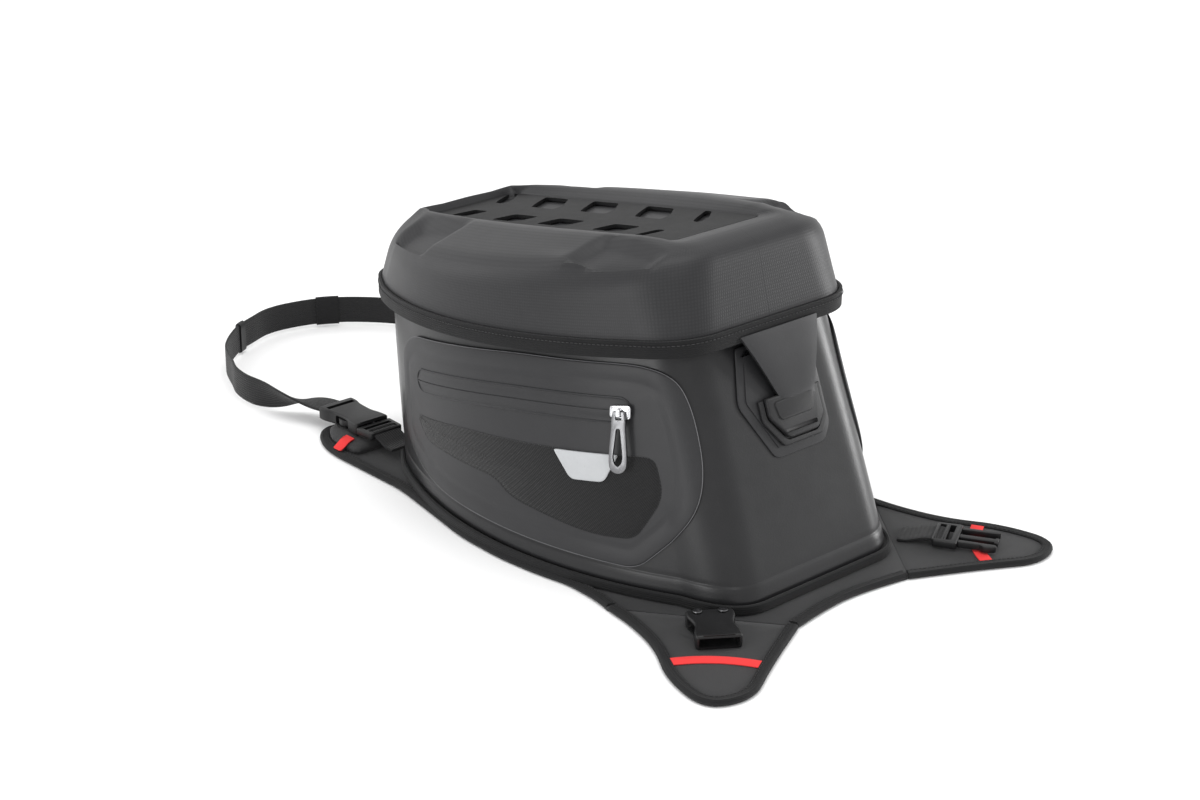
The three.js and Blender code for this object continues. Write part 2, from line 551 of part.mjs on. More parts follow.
// Places a buckle piece on the left-hand arm with its prongs pointing forward.
const onArm = (g) => g.rotateZ(Math.PI).translate(FRONT_BUCKLE.x, FRONT_BUCKLE.y, FRONT_BUCKLE.z);
function armPad() {
	const shape = roundedShape([[-206, 70, 2], [-206, 112, 4], [-240, 114, 14], [-264, 100, 12], [-264,
		84, 12],
		[-250, 72, 8]]);
	return mirrorY(slab(shape, ARM_PAD.low, ARM_PAD.high, 3));
}
// Flat webbing along a profile drawn in side view (x, z), centred on y.
function flatWebbing(profile, y, thick = WEBBING_THICK) {
	const top = profile.map(([x, z]) => v2(x, z + thick / 2));
	const under = profile.map(([x, z]) => v2(x, z - thick / 2)).reverse();
	const shape = new THREE.Shape([...top, ...under]);
	return new THREE.ExtrudeGeometry(shape, { depth: WEBBING_WIDTH, bevelEnabled: false })
		.rotateX(Math.PI / 2).translate(0, y + WEBBING_WIDTH / 2, 0);
}
function anchorWebbing() {
	const strap = flatWebbing([[FRONT_BUCKLE.x + GAP, FRONT_BUCKLE.z], [-201, 14.6], [-195, 11.6], [-180,
		11.4]], FRONT_BUCKLE.y);
	return cut(strap, block(TUB_BASE, -2, TUB_BASE, 40, BASE_PAD_MARGIN + GAP));
}
function armAccent() {
	const shape = roundedShape([[-226, 103, 1], [-223, 113, 1], [-232, 113, 1], [-236, 103, 1]]);
	return mirrorY(slab(shape, ARM_PAD.high + GAP, ARM_PAD.high + GAP + 0.9));
}
for (const side of sides) {
	add('arm_pad_' + side, armPad(), padding(), side);
	add('arm_accent_' + side, armAccent(), red(), side);
	add('anchor_webbing_' + side, anchorWebbing(), webbing(), side);
	add('front_male_' + side, onArm(maleBase()), plastic(), side);
	add('front_prong_inner_' + side, onArm(mirrorY(prong())), plastic(), side);
	add('front_prong_outer_' + side, onArm(prong()), plastic(), side);
	add('front_female_' + side, onArm(femaleShell(FEMALE_LONG, true)), plastic(), side);
}

// ---- steering-head strap: webbing standing on edge, drawn in plan from the left buckle round the
// front ----
const STRAP_EDGE_Z = [3, 28];
const strapEndX = FRONT_BUCKLE.x - BUCKLE.base - GAP - FEMALE_LONG - 1;
const STRAP_ROUTE = [[strapEndX, FRONT_BUCKLE.y], [-300, -91], [-327, -105], [-356, -113], [-381,
	-111], [-401, -103], [-436, -86],
	[-465, -56], [-479, -29], [-487, -8], [-487, 15], [-479, 44], [-462, 70], [-436, 94], [-405, 111],
		[-372, 117], [-340, 111],
	[-305, 94], [strapEndX, -FRONT_BUCKLE.y]];
const strapCurve = new THREE.CatmullRomCurve3(STRAP_ROUTE.map(([x, y]) => v3(x, y, 0)), false,
	'centripetal');
// A band that follows the strap between two shares of its length, from one offset to another.
function strapBand(from, to, inner, outer, low, high, steps) {
	const side = (offset) => Array.from({ length: steps + 1 }, (_, i) => {
		const u = from + (to - from) * i / steps;
		const p = strapCurve.getPointAt(u);
		const t = strapCurve.getTangentAt(u);
		return v2(p.x - t.y * offset, p.y + t.x * offset);
	});
	return slab(new THREE.Shape([...side(inner), ...side(outer).reverse()]), low, high, 1);
}
add('steering_strap', strapBand(0, 1, -WEBBING_THICK / 2, WEBBING_THICK / 2, ...STRAP_EDGE_Z, 56),
	webbing());
function strapLoop(from, to, grow) {
	const inside = WEBBING_THICK / 2 + GAP;
	const [low, high] = STRAP_EDGE_Z;
	const outer = strapBand(from, to, -inside - grow, inside + grow, low - GAP - grow, high + GAP + grow,
		6);
	return cut(outer, strapBand(from - 0.01, to + 0.01, -inside, inside, low - GAP, high + GAP, 8));
}
add('strap_sleeve', strapLoop(0.565, 0.605, 1.4), webbing());
add('strap_keeper', strapLoop(0.385, 0.41, 2), plastic());

// ---- fittings on the rear flaps ----
const REAR_FEMALE = { x: 215, y: 124, turn: 34 };      // middle of its mouth
const REAR_MALE = { x: 199, y: 118, turn: 30, z: 8.4 };  // middle of its webbing end
function onLeftFlap(g) {
	const a = REAR_FEMALE.turn * Math.PI / 180;
	return mirrorY(g.rotateZ(Math.PI).translate(BUCKLE.base + GAP, 0,
		HARNESS_THICK + GAP + BUCKLE.shell / 2)
		.rotateZ(a).translate(REAR_FEMALE.x, REAR_FEMALE.y, 0));
}
const RIVET = { hole: 2.1, shank: 1.8, head: 3.4, headThick: 1.4, y: 9, fromEnd: 4.5 };
const rivetX = BUCKLE.base + GAP + FEMALE_SHORT - RIVET.fromEnd;
const rod = (r, height) => new THREE.CylinderGeometry(r, r, height, 16).rotateX(Math.PI / 2);
function rearFemale() {
	const holes = [-1, 1].map((k) => rod(RIVET.hole, 30).translate(rivetX, k * RIVET.y, 0));
	return onLeftFlap(cut(femaleShell(FEMALE_SHORT, false), ...holes));
}
function rivet(k) {
	const top = BUCKLE.shell / 2 + GAP;
	const shank = rod(RIVET.shank, BUCKLE.shell + 2 * GAP).translate(0, 0, GAP);
	return onLeftFlap(join(shank, rod(RIVET.head, RIVET.headThick).translate(0, 0,
		top + RIVET.headThick / 2))
		.translate(rivetX, k * RIVET.y, 0));
}
add('rear_female', rearFemale(), plastic());
add('rear_rivet_front', rivet(1), zinc());
add('rear_rivet_rear', rivet(-1), zinc());

const onRightFlap = (g) => g.translate(0, 0, REAR_MALE.z).rotateZ(REAR_MALE.turn * Math.PI / 180)
	.translate(REAR_MALE.x, REAR_MALE.y, 0);
const TAIL = 26;                 // free webbing between the flap and the buckle
function tailWebbing() {
	const sewnZ = HARNESS_THICK + GAP + WEBBING_THICK / 2 - REAR_MALE.z;
	return onRightFlap(flatWebbing([[-TAIL, sewnZ], [-TAIL + 9, sewnZ + 0.2], [-9, -0.3], [-GAP, 0]], 0));
}
add('rear_tail_webbing', tailWebbing(), webbing());
add('rear_male', onRightFlap(maleBase()), plastic());
add('rear_prong_inner', onRightFlap(mirrorY(prong())), plastic());
add('rear_prong_outer', onRightFlap(prong()), plastic());

export default bag;
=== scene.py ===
"""Motorcycle tank bag: a welded tub with a hinged moulded lid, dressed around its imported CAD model.

Metres, +X back to the rider, +Y to the right-hand side, +Z up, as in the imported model.
"""

import logging
import math
from collections.abc import Callable, Sequence
from dataclasses import dataclass, field
from enum import Enum

import bmesh
import bpy
from mathutils import Matrix, Vector


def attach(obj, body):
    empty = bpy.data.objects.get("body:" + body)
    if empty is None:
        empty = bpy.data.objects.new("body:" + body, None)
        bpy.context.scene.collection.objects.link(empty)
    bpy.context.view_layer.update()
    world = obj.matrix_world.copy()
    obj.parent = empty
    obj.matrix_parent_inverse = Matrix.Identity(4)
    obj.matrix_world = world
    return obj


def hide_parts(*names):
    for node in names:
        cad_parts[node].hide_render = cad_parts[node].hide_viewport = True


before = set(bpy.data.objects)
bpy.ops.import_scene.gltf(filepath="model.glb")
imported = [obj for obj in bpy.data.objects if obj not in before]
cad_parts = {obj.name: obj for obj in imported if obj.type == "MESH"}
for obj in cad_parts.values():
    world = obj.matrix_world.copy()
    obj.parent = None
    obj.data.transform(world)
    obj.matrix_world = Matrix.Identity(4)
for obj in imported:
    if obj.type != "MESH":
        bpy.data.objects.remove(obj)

LOG = logging.getLogger("tank_bag")
MM = 0.001
TAU = 2 * math.pi
SETTLE_FRAMES = 14
Point2 = tuple[float, float]
Place = Callable[[float, float], Vector]
Piece = bpy.types.Object


# ---- plan outlines


@dataclass(frozen=True)
class Outline:
    """A closed plan outline in millimetres, the same on both sides of the X axis.

    It runs from the middle of the rear edge through a round corner, one long arc and the nose.
    """

    rear_x: float
    rear_half: float
    corner: float
    arc_x: float
    arc_y: float
    arc_r: float
    side_rear: float
    side_front: float
    nose_x: float
    nose_half: float

    def side_y(self, x: float, grow: float) -> float:
        """Half width at x on the long arc, grown outwards."""
        r = self.arc_r + grow
        return self.arc_y + math.sqrt(r * r - (x - self.arc_x) ** 2)

    def point(self, u: float, grow: float = 0.0) -> Point2:
        """A point on the outline.

        Args:
            u: Share of the way round, from the rear middle through +Y.
            grow: Millimetres to move outwards.

        Returns:
            (x, y) in millimetres.
        """
        u %= 1.0
        s, sign = (u, 1.0) if u <= 0.5 else (1.0 - u, -1.0)
        shares = RING_SHARES
        rear, nose = self.rear_x + grow, self.nose_x - grow
        back = (self.side_rear, self.side_y(self.side_rear, grow))
        front = (self.side_front, self.side_y(self.side_front, grow))
        if s <= shares[0]:
            x, y = rear, (self.rear_half - self.corner) * s / shares[0]
        elif s <= shares[1]:
            t = (s - shares[0]) / (shares[1] - shares[0])
            x, y = bezier([(rear, self.rear_half - self.corner), (rear, self.rear_half + grow), back], t)
        elif s <= shares[2]:
            t = (s - shares[1]) / (shares[2] - shares[1])
            a0 = math.atan2(back[1] - self.arc_y, back[0] - self.arc_x)
            a1 = math.atan2(front[1] - self.arc_y, front[0] - self.arc_x)
            a, r = a0 + (a1 - a0) * t, self.arc_r + grow
            x, y = self.arc_x + r * math.cos(a), self.arc_y + r * math.sin(a)
        elif s <= shares[3]:
            t = (s - shares[2]) / (shares[3] - shares[2])
            x, y = bezier([front, (self.side_front - 26, front[1] - 17),
                           (nose, self.nose_half + 16), (nose, self.nose_half - 22)], t)
        else:
            t = (s - shares[3]) / (0.5 - shares[3])
            x, y = nose, (self.nose_half - 22) * (1 - t)
        return x, sign * y


@dataclass(frozen=True)
class Rectangle:
    """A round-cornered rectangle in plan, in millimetres, followed in step with an Outline."""

    rear_x: float
    front_x: float
    half: float
    radius: float

    def point(self, u: float, grow: float = 0.0) -> Point2:
        """A point on the rectangle, at the same share of the way round as Outline.point.

        Args:
            u: The share of the way round, from 0 to 1.
            grow: How far outside the rectangle, in millimetres.

        Returns:
            The point in plan, in millimetres.
        """
        u %= 1.0
        s, sign = (u, 1.0) if u <= 0.5 else (1.0 - u, -1.0)
        a, b, c, d = RING_SHARES
        r = self.radius
        rear, front, half = self.rear_x + grow, self.front_x - grow, self.half + grow
        if s <= a:
            return rear, sign * (half - r) * s / a
        if s <= b:
            x, y = bezier([(rear, half - r), (rear, half), (rear - r, half)], (s - a) / (b - a))
        elif s <= c:
            x, y = rear - r + (front + r - rear + r) * (s - b) / (c - b), half
        elif s <= d:
            x, y = bezier([(front + r, half), (front, half), (front, half - r)], (s - c) / (d - c))
        else:
            x, y = front, (half - r) * (0.5 - s) / (0.5 - d)
        return x, sign * y


RING_SHARES = (0.05, 0.11, 0.38, 0.47)

TUB_BASE = Outline(193, 86, 28, -8.9, -186, 323.7, 150, -160, -209, 52)
TUB_MOUTH = Outline(126, 78, 28, -45.9, -155, 283.4, 96, -172, -215, 60)
LID_RIM = Outline(134, 85, 32, -44, -155, 291.5, 98, -178, -223, 66)
LID_SHOULDER = Outline(119, 75, 32, -44, -155, 283, 84, -172, -215, 60)
LID_CREST = Outline(100, 56, 20, -50, -600, 666, 80, -186, -203, 44)


def rim_z(x: float) -> float:
    """Height of the tub's mouth at x, in millimetres."""
    return 163.9 + 0.115 * x


def bezier(points: Sequence[Point2], t: float) -> Point2:
    """A point on a Bezier curve by repeated blending.

    Args:
        points: The control points.
        t: The share of the way along the curve.

    Returns:
        The point on the curve.
    """
    row = [tuple(p) for p in points]
    while len(row) > 1:
        row = [tuple(a + (b - a) * t for a, b in zip(p, q)) for p, q in zip(row, row[1:])]
    return row[0]


def rounded(corners: Sequence[tuple[float, float, float]], steps: int = 6) -> list[Point2]:
    """A closed polygon with its corners rounded.

    Args:
        corners: (x, y, reach) for each corner, where reach is how far the curve starts from it.
        steps: Pieces in each corner's curve.

    Returns:
        The points, in the order of the corners.
    """
    out: list[Point2] = []
    count = len(corners)
    for i, (x, y, reach) in enumerate(corners):
        here = Vector((x, y))
        before = Vector(corners[i - 1][:2]) - here
        after = Vector(corners[(i + 1) % count][:2]) - here
        start = here + before.normalized() * min(reach, before.length * 0.49)
        end = here + after.normalized() * min(reach, after.length * 0.49)
        out += [bezier([tuple(start), (x, y), tuple(end)], k / steps) for k in range(steps + 1)]
    return out


def resample(points: Sequence[Sequence[float]], count: int, closed: bool = True) -> list[Vector]:
    """Points spaced evenly along a polyline.

    Args:
        points: The corners of the line.
        count: How many points or spans to give it.
        closed: The line meets itself.

    Returns:
        The even points.
    """
    line = [Vector(p) for p in points]
    if closed:
        line.append(line[0].copy())
    reach = [0.0]
    for a, b in zip(line, line[1:]):
        reach.append(reach[-1] + (b - a).length)
    out, k = [], 0
    for i in range(count):
        target = reach[-1] * i / (count if closed else count - 1)
        while k < len(line) - 2 and reach[k + 1] < target:
            k += 1
        span = reach[k + 1] - reach[k]
        out.append(line[k].lerp(line[k + 1], (target - reach[k]) / span if span > 0 else 0.0))
    return out


def smooth_line(points: Sequence[Sequence[float]], steps: int = 10) -> list[Vector]:
    """A Catmull-Rom line through the points, ends included.

    Args:
        points: The points that the line goes through.
        steps: How many spans it has between two of them.

    Returns:
        The points of the smooth line.
    """
    p = [Vector(q) for q in points]
    p = [2 * p[0] - p[1], *p, 2 * p[-1] - p[-2]]
    out = []
    for a, b, c, d in zip(p, p[1:], p[2:], p[3:]):
        for k in range(steps):
            t = k / steps
            out.append(0.5 * (2 * b + (c - a) * t + (2 * a - 5 * b + 4 * c - d) * t * t
                              + (3 * b - a - 3 * c + d) * t ** 3))
    return [*out, p[-2]]


def ease(t: float) -> float:
    """Smooth step from 0 to 1, held outside that range."""
    t = max(0.0, min(1.0, t))
    return t * t * (3 - 2 * t)


# ---- modelling


def deselect() -> None:
    """Leaves nothing selected."""
    bpy.ops.object.select_all(action="DESELECT")


def hold(obj: Piece) -> Piece:
    """Makes one object the only selected and active one.

    Args:
        obj: The object to hold.

    Returns:
        The same object.
    """
    deselect()
    obj.select_set(True)
    bpy.context.view_layer.objects.active = obj
    return obj


def in_edit(obj: Piece, *steps: Callable[[], object]) -> None:
    """Runs operators on all of a mesh in edit mode.

    Args:
        obj: The mesh object.
        steps: The operators, one call each.
    """
    hold(obj)
    bpy.ops.object.mode_set(mode="EDIT")
    bpy.ops.mesh.select_mode(type="VERT")
    bpy.ops.mesh.select_all(action="SELECT")
    for step in steps:
        step()
    bpy.ops.object.mode_set(mode="OBJECT")


def bake(obj: Piece) -> Piece:
    """Applies every modifier and the object's place.

    Args:
        obj: The object to finish.

    Returns:
        The same object.
    """
    hold(obj)
    for m in list(obj.modifiers):
        bpy.ops.object.modifier_apply(modifier=m.name)
    bpy.ops.object.transform_apply(location=True, rotation=True, scale=True)
    return obj


def named(obj: Piece, name: str) -> Piece:
    """Names an object and its mesh.

    Args:
        obj: The object.
        name: Its new name.

    Returns:
        The same object.
    """
    obj.name = name
    obj.data.name = name
    return obj


def smooth(obj: Piece, angle: float = 35.0) -> Piece:
    """Smooth shading with sharp edges over an angle in degrees.

    Args:
        obj: The object.
        angle: The angle over which an edge stays sharp.

    Returns:
        The same object.
    """
    hold(obj)
    bpy.ops.object.shade_smooth_by_angle(angle=math.radians(angle))
    return obj


def drape(name: str, nu: int, nv: int, place: Place, closed: bool = False, flip: bool = False) -> Piece:
    """A grid laid over a surface, with a UV map in metres along it.

    Args:
        name: The piece's name.
        nu: Steps along u.
        nv: Steps along v.
        place: Gives the point, in metres, for u and v from 0 to 1.
        closed: The surface meets itself at u = 0 and u = 1.
        flip: Turn the faces over.

    Returns:
        The mesh object.
    """
    deselect()
    bpy.ops.mesh.primitive_grid_add(x_subdivisions=nu, y_subdivisions=nv, size=2)
    obj = named(bpy.context.object, name)
    mesh = obj.data
    cells = [(round((v.co.x + 1) / 2 * nu), round((v.co.y + 1) / 2 * nv)) for v in mesh.vertices]
    table = {ij: place(ij[0] / nu, ij[1] / nv) for ij in cells}
    for vertex, ij in zip(mesh.vertices, cells):
        vertex.co = table[ij]
    mu, mv = nu // 2, nv // 2
    reach_u, reach_v = [0.0], [0.0]
    for i in range(nu):
        reach_u.append(reach_u[-1] + (table[i + 1, mv] - table[i, mv]).length)
    for j in range(nv):
        reach_v.append(reach_v[-1] + (table[mu, j + 1] - table[mu, j]).length)
    uv = mesh.uv_layers.active.data
    for loop in mesh.loops:
        i, j = cells[loop.vertex_index]
        uv[loop.index].uv = (reach_u[i], reach_v[j])
    if closed:
        in_edit(obj, lambda: bpy.ops.mesh.remove_doubles(threshold=1e-5))
    if flip:
        in_edit(obj, lambda: bpy.ops.mesh.flip_normals())
    return smooth(obj)


def thicken(obj: Piece, thickness: float, offset: float = -1.0) -> Piece:
    """Gives a surface a wall of that thickness, inwards for an offset of -1.

    Args:
        obj: The open surface.
        thickness: The wall, in metres.
        offset: The side that the wall grows on.

    Returns:
        The same object, closed.
    """
    m = obj.modifiers.new("wall", "SOLIDIFY")
    m.thickness, m.offset, m.use_even_offset = thickness, offset, True
    return smooth(bake(obj))


def band(name: str, path: Sequence[Vector], sides: Sequence[Vector], section: Sequence[Point2],
         closed: bool = False) -> Piece:
    """Sweeps a closed section along a path.

    Args:
        name: The piece's name.
        path: The points it follows, in metres.
        sides: At each point, the direction of the section's first axis.
        section: The section's corners (across, out) in metres.
        closed: The path meets itself.

    Returns:
        The mesh object, closed at its ends.
    """
    count, turns = len(path), len(section)
    ahead = [path[(i + 1) % count] - path[i - 1] if closed
             else path[min(i + 1, count - 1)] - path[max(i - 1, 0)]
             for i in range(count)]

    def place(u: float, v: float) -> Vector:
        """A point on the band's skin.

        Args:
            u: The share of the way along the path.
            v: The share of the way round the section.

        Returns:
            The point, in metres.
        """
        i = round(u * (count if closed else count - 1)) % count
        a, b = section[round(v * turns) % turns]
        side = sides[i].normalized()
        out = side.cross(ahead[i]).normalized()
        return path[i] + side * a + out * b

    obj = drape(name, count if closed else count - 1, turns, place)
    in_edit(obj, lambda: bpy.ops.mesh.remove_doubles(threshold=1e-6),
            lambda: bpy.ops.mesh.select_all(action="SELECT"), lambda: bpy.ops.mesh.fill_holes(sides=0),
            lambda: bpy.ops.mesh.select_all(action="SELECT"),
            lambda: bpy.ops.mesh.normals_make_consistent(inside=False))
    return smooth(obj, 50)


def strap_section(width: float, thick: float, across: int = 6) -> list[Point2]:
    """A flat section with round edges.

    Args:
        width: The full width, in metres.
        thick: The full thickness, in metres.
        across: How many spans lie across it.

    Returns:
        The closed section.
    """
    w, t = width / 2, thick / 2
    r = min(t, w) * 0.9
    top = [(-w + r + (2 * w - 2 * r) * k / across, t) for k in range(across + 1)]
    edge = [(w - r * 0.3, t * 0.7), (w, 0.0), (w - r * 0.3, -t * 0.7)]
    under = [(-x, -y) for x, y in top]
    other = [(-x, -y) for x, y in edge]
    return [*top, *edge, *under, *other]


def plate(name: str, outline: Sequence[Point2], low: float, high: float, bevel: float = 0.0006,
          segments: int = 2) -> Piece:
    """A flat piece cut to an outline and raised between two heights, with its edges broken.

    Args:
        name: The piece's name.
        outline: Its outline, in millimetres.
        low: The height of its underside, in millimetres.
        high: The height of its top, in millimetres.
        bevel: The width of its broken edges, in metres.
        segments: How round those edges are.

    Returns:
        The piece.
    """
    outline, low, high = metres(outline), low * MM, high * MM
    deselect()
    bpy.ops.mesh.primitive_circle_add(vertices=len(outline), radius=1, fill_type="NGON")
    obj = named(bpy.context.object, name)
    for vertex, (x, y) in zip(obj.data.vertices, outline):
        vertex.co = (x, y, low)
    in_edit(obj,
            lambda: bpy.ops.mesh.extrude_region_move(TRANSFORM_OT_translate={"value": (0, 0, high - low)}),
            lambda: bpy.ops.mesh.select_all(action="SELECT"),
            lambda: bpy.ops.mesh.normals_make_consistent(inside=False))
    if bevel > 0:
        m = obj.modifiers.new("edges", "BEVEL")
        m.width, m.segments, m.limit_method, m.angle_limit = bevel, segments, "ANGLE", math.radians(40)
    return smooth(bake(obj), 30)


def block(name: str, low: Sequence[float], high: Sequence[float], bevel: float = 0.0005,
          segments: int = 2) -> Piece:
    """A block between two corners with its edges broken.

    Args:
        name: The piece's name.
        low: The lowest corner, in millimetres.
        high: The highest corner, in millimetres.
        bevel: The width of its broken edges, in metres.
        segments: How round those edges are.

    Returns:
        The piece.
    """
    low, high = metres((low, high))
    deselect()
    centre = [(a + b) / 2 for a, b in zip(low, high)]
    bpy.ops.mesh.primitive_cube_add(size=1, location=centre, scale=[b - a for a, b in zip(low, high)])
    obj = named(bpy.context.object, name)
    bpy.ops.object.transform_apply(location=True, rotation=True, scale=True)
    if bevel > 0:
        in_edit(obj, lambda: bpy.ops.mesh.bevel(offset=bevel, segments=segments, affect="EDGES"))
    return smooth(obj, 30)


def drum(name: str, radius: float, low: float, high: float, bevel: float = 0.0003, sides: int = 32) -> Piece:
    """An upright cylinder with its edges broken.

    Args:
        name: The piece's name.
        radius: Its radius, in metres.
        low: The height of its underside.
        high: The height of its top.
        bevel: The width of its broken edges.
        sides: How many sides it has.

    Returns:
        The piece.
    """
    deselect()
    bpy.ops.mesh.primitive_cylinder_add(vertices=sides, radius=radius, depth=high - low,
                                        location=(0, 0, (low + high) / 2))
    obj = named(bpy.context.object, name)
    if bevel > 0:
        m = obj.modifiers.new("edges", "BEVEL")
        m.width, m.segments, m.limit_method = bevel, 2, "ANGLE"
    return smooth(bake(obj), 30)


def merge(name: str, *parts: Piece) -> Piece:
    """Joins several meshes into one object.

    Args:
        name: The joined piece's name.
        parts: The objects to join.

    Returns:
        The joined object.
    """
    deselect()
    for p in parts:
        p.select_set(True)
    bpy.context.view_layer.objects.active = parts[0]
    if len(parts) > 1:
        bpy.ops.object.join()
    return named(bpy.context.object, name)


def carve(obj: Piece, *tools: Piece, how: str = "DIFFERENCE") -> Piece:
    """Cuts tools out of a mesh, or fuses them to it, and removes them.

    Args:
        obj: The mesh to cut.
        tools: The cutters.
        how: The kind of cut.

    Returns:
        The cut mesh.
    """
    for tool in tools:
        m = obj.modifiers.new("carve", "BOOLEAN")
        m.object, m.operation, m.solver = tool, how, "EXACT"
    bake(obj)
    for tool in tools:
        bpy.data.objects.remove(tool)
    return smooth(obj, 30)


def copied(obj: Piece, name: str) -> Piece:
    """A copy with its own mesh.

    Args:
        obj: The object to copy.
        name: The copy's name.

    Returns:
        The copy.
    """
    twin = obj.copy()
    twin.data = obj.data.copy()
    bpy.context.scene.collection.objects.link(twin)
    return named(twin, name)


def moved(obj: Piece, matrix: Matrix) -> Piece:
    """Moves a mesh by a matrix, and keeps its faces outwards if the matrix mirrors it.

    Args:
        obj: The object.
        matrix: The move.

    Returns:
        The same object.
    """
    obj.data.transform(matrix)
    if matrix.determinant() < 0:
        obj.data.flip_normals()
    obj.data.update()
    return obj


MIRROR = Matrix.Scale(-1, 4, (0, 1, 0))


def grown(outline: Sequence[Point2], by: float) -> list[Point2]:
    """A closed outline moved outwards along its own normals, or inwards for a negative number.

    Args:
        outline: The corners of the outline.
        by: How far to move it.

    Returns:
        The new outline.
    """
    count = len(outline)
    area = sum(outline[i - 1][0] * outline[i][1] - outline[i][0] * outline[i - 1][1] for i in range(count))
    sign = 1.0 if area > 0 else -1.0
    out = []
    for i in range(count):
        a, b = Vector(outline[i - 1]), Vector(outline[(i + 1) % count])
        d = (b - a).normalized() * by * sign
        out.append((outline[i][0] + d.y, outline[i][1] - d.x))
    return out


def metres(points: Sequence[Sequence[float]]) -> list[tuple[float, ...]]:
    """Millimetre points in metres."""
    return [tuple(c * MM for c in p) for p in points]


# ---- finishes

Socket = bpy.types.NodeSocket


class Tree:
    """Adds nodes to one node tree and links them by name."""

    def __init__(self, tree: bpy.types.NodeTree) -> None:
        """Keeps the tree."""
        self.tree = tree

    def add(self, kind: str, links: dict[str | int, object] | None = None,
            **settings: object) -> bpy.types.Node:
        """Adds a node.

        Args:
            kind: The node's type, without its "ShaderNode" prefix.
            links: Input name or number to a value or a socket.
            settings: The node's own properties.

        Returns:
            The node.
        """
        node = self.tree.nodes.new("ShaderNode" + kind)
        for key, value in settings.items():
            setattr(node, key, value)
        for key, value in (links or {}).items():
            if isinstance(value, bpy.types.NodeSocket):
                self.tree.links.new(value, node.inputs[key])
            else:
                node.inputs[key].default_value = value
        return node

    def math(self, operation: str, a: object, b: object = 0.0, clamp: bool = False) -> Socket:
        """A math node's output."""
        return self.add("Math", {0: a, 1: b}, operation=operation, use_clamp=clamp).outputs[0]

    def group(self, group: bpy.types.NodeTree, links: dict[str, object]) -> bpy.types.Node:
        """Places a node group.

        Args:
            group: The node group.
            links: What feeds each of its inputs.

        Returns:
            The placed node.
        """
        node = self.tree.nodes.new("ShaderNodeGroup")
        node.node_tree = group
        for key, value in links.items():
            if isinstance(value, bpy.types.NodeSocket):
                self.tree.links.new(value, node.inputs[key])
            else:
                node.inputs[key].default_value = value
        return node


def new_group(name: str, inputs: dict[str, str], outputs: Sequence[str]
              ) -> tuple[Tree, bpy.types.Node, bpy.types.Node]:
    """Starts a shader node group.

    Args:
        name: The group's name.
        inputs: Input name to socket type.
        outputs: Names of its number outputs.

    Returns:
        The tree, its input node and its output node.
    """
    group = bpy.data.node_groups.new(name, "ShaderNodeTree")
    for key, kind in inputs.items():
        group.interface.new_socket(key, in_out="INPUT", socket_type=kind)
    for key in outputs:
        group.interface.new_socket(key, in_out="OUTPUT", socket_type="NodeSocketFloat")
    return Tree(group), group.nodes.new("NodeGroupInput"), group.nodes.new("NodeGroupOutput")


class Weave(Enum):
    """How a cloth's threads cross."""

    PLAIN = "plain"
    TWILL = "twill"
    RIBBED = "ribbed"


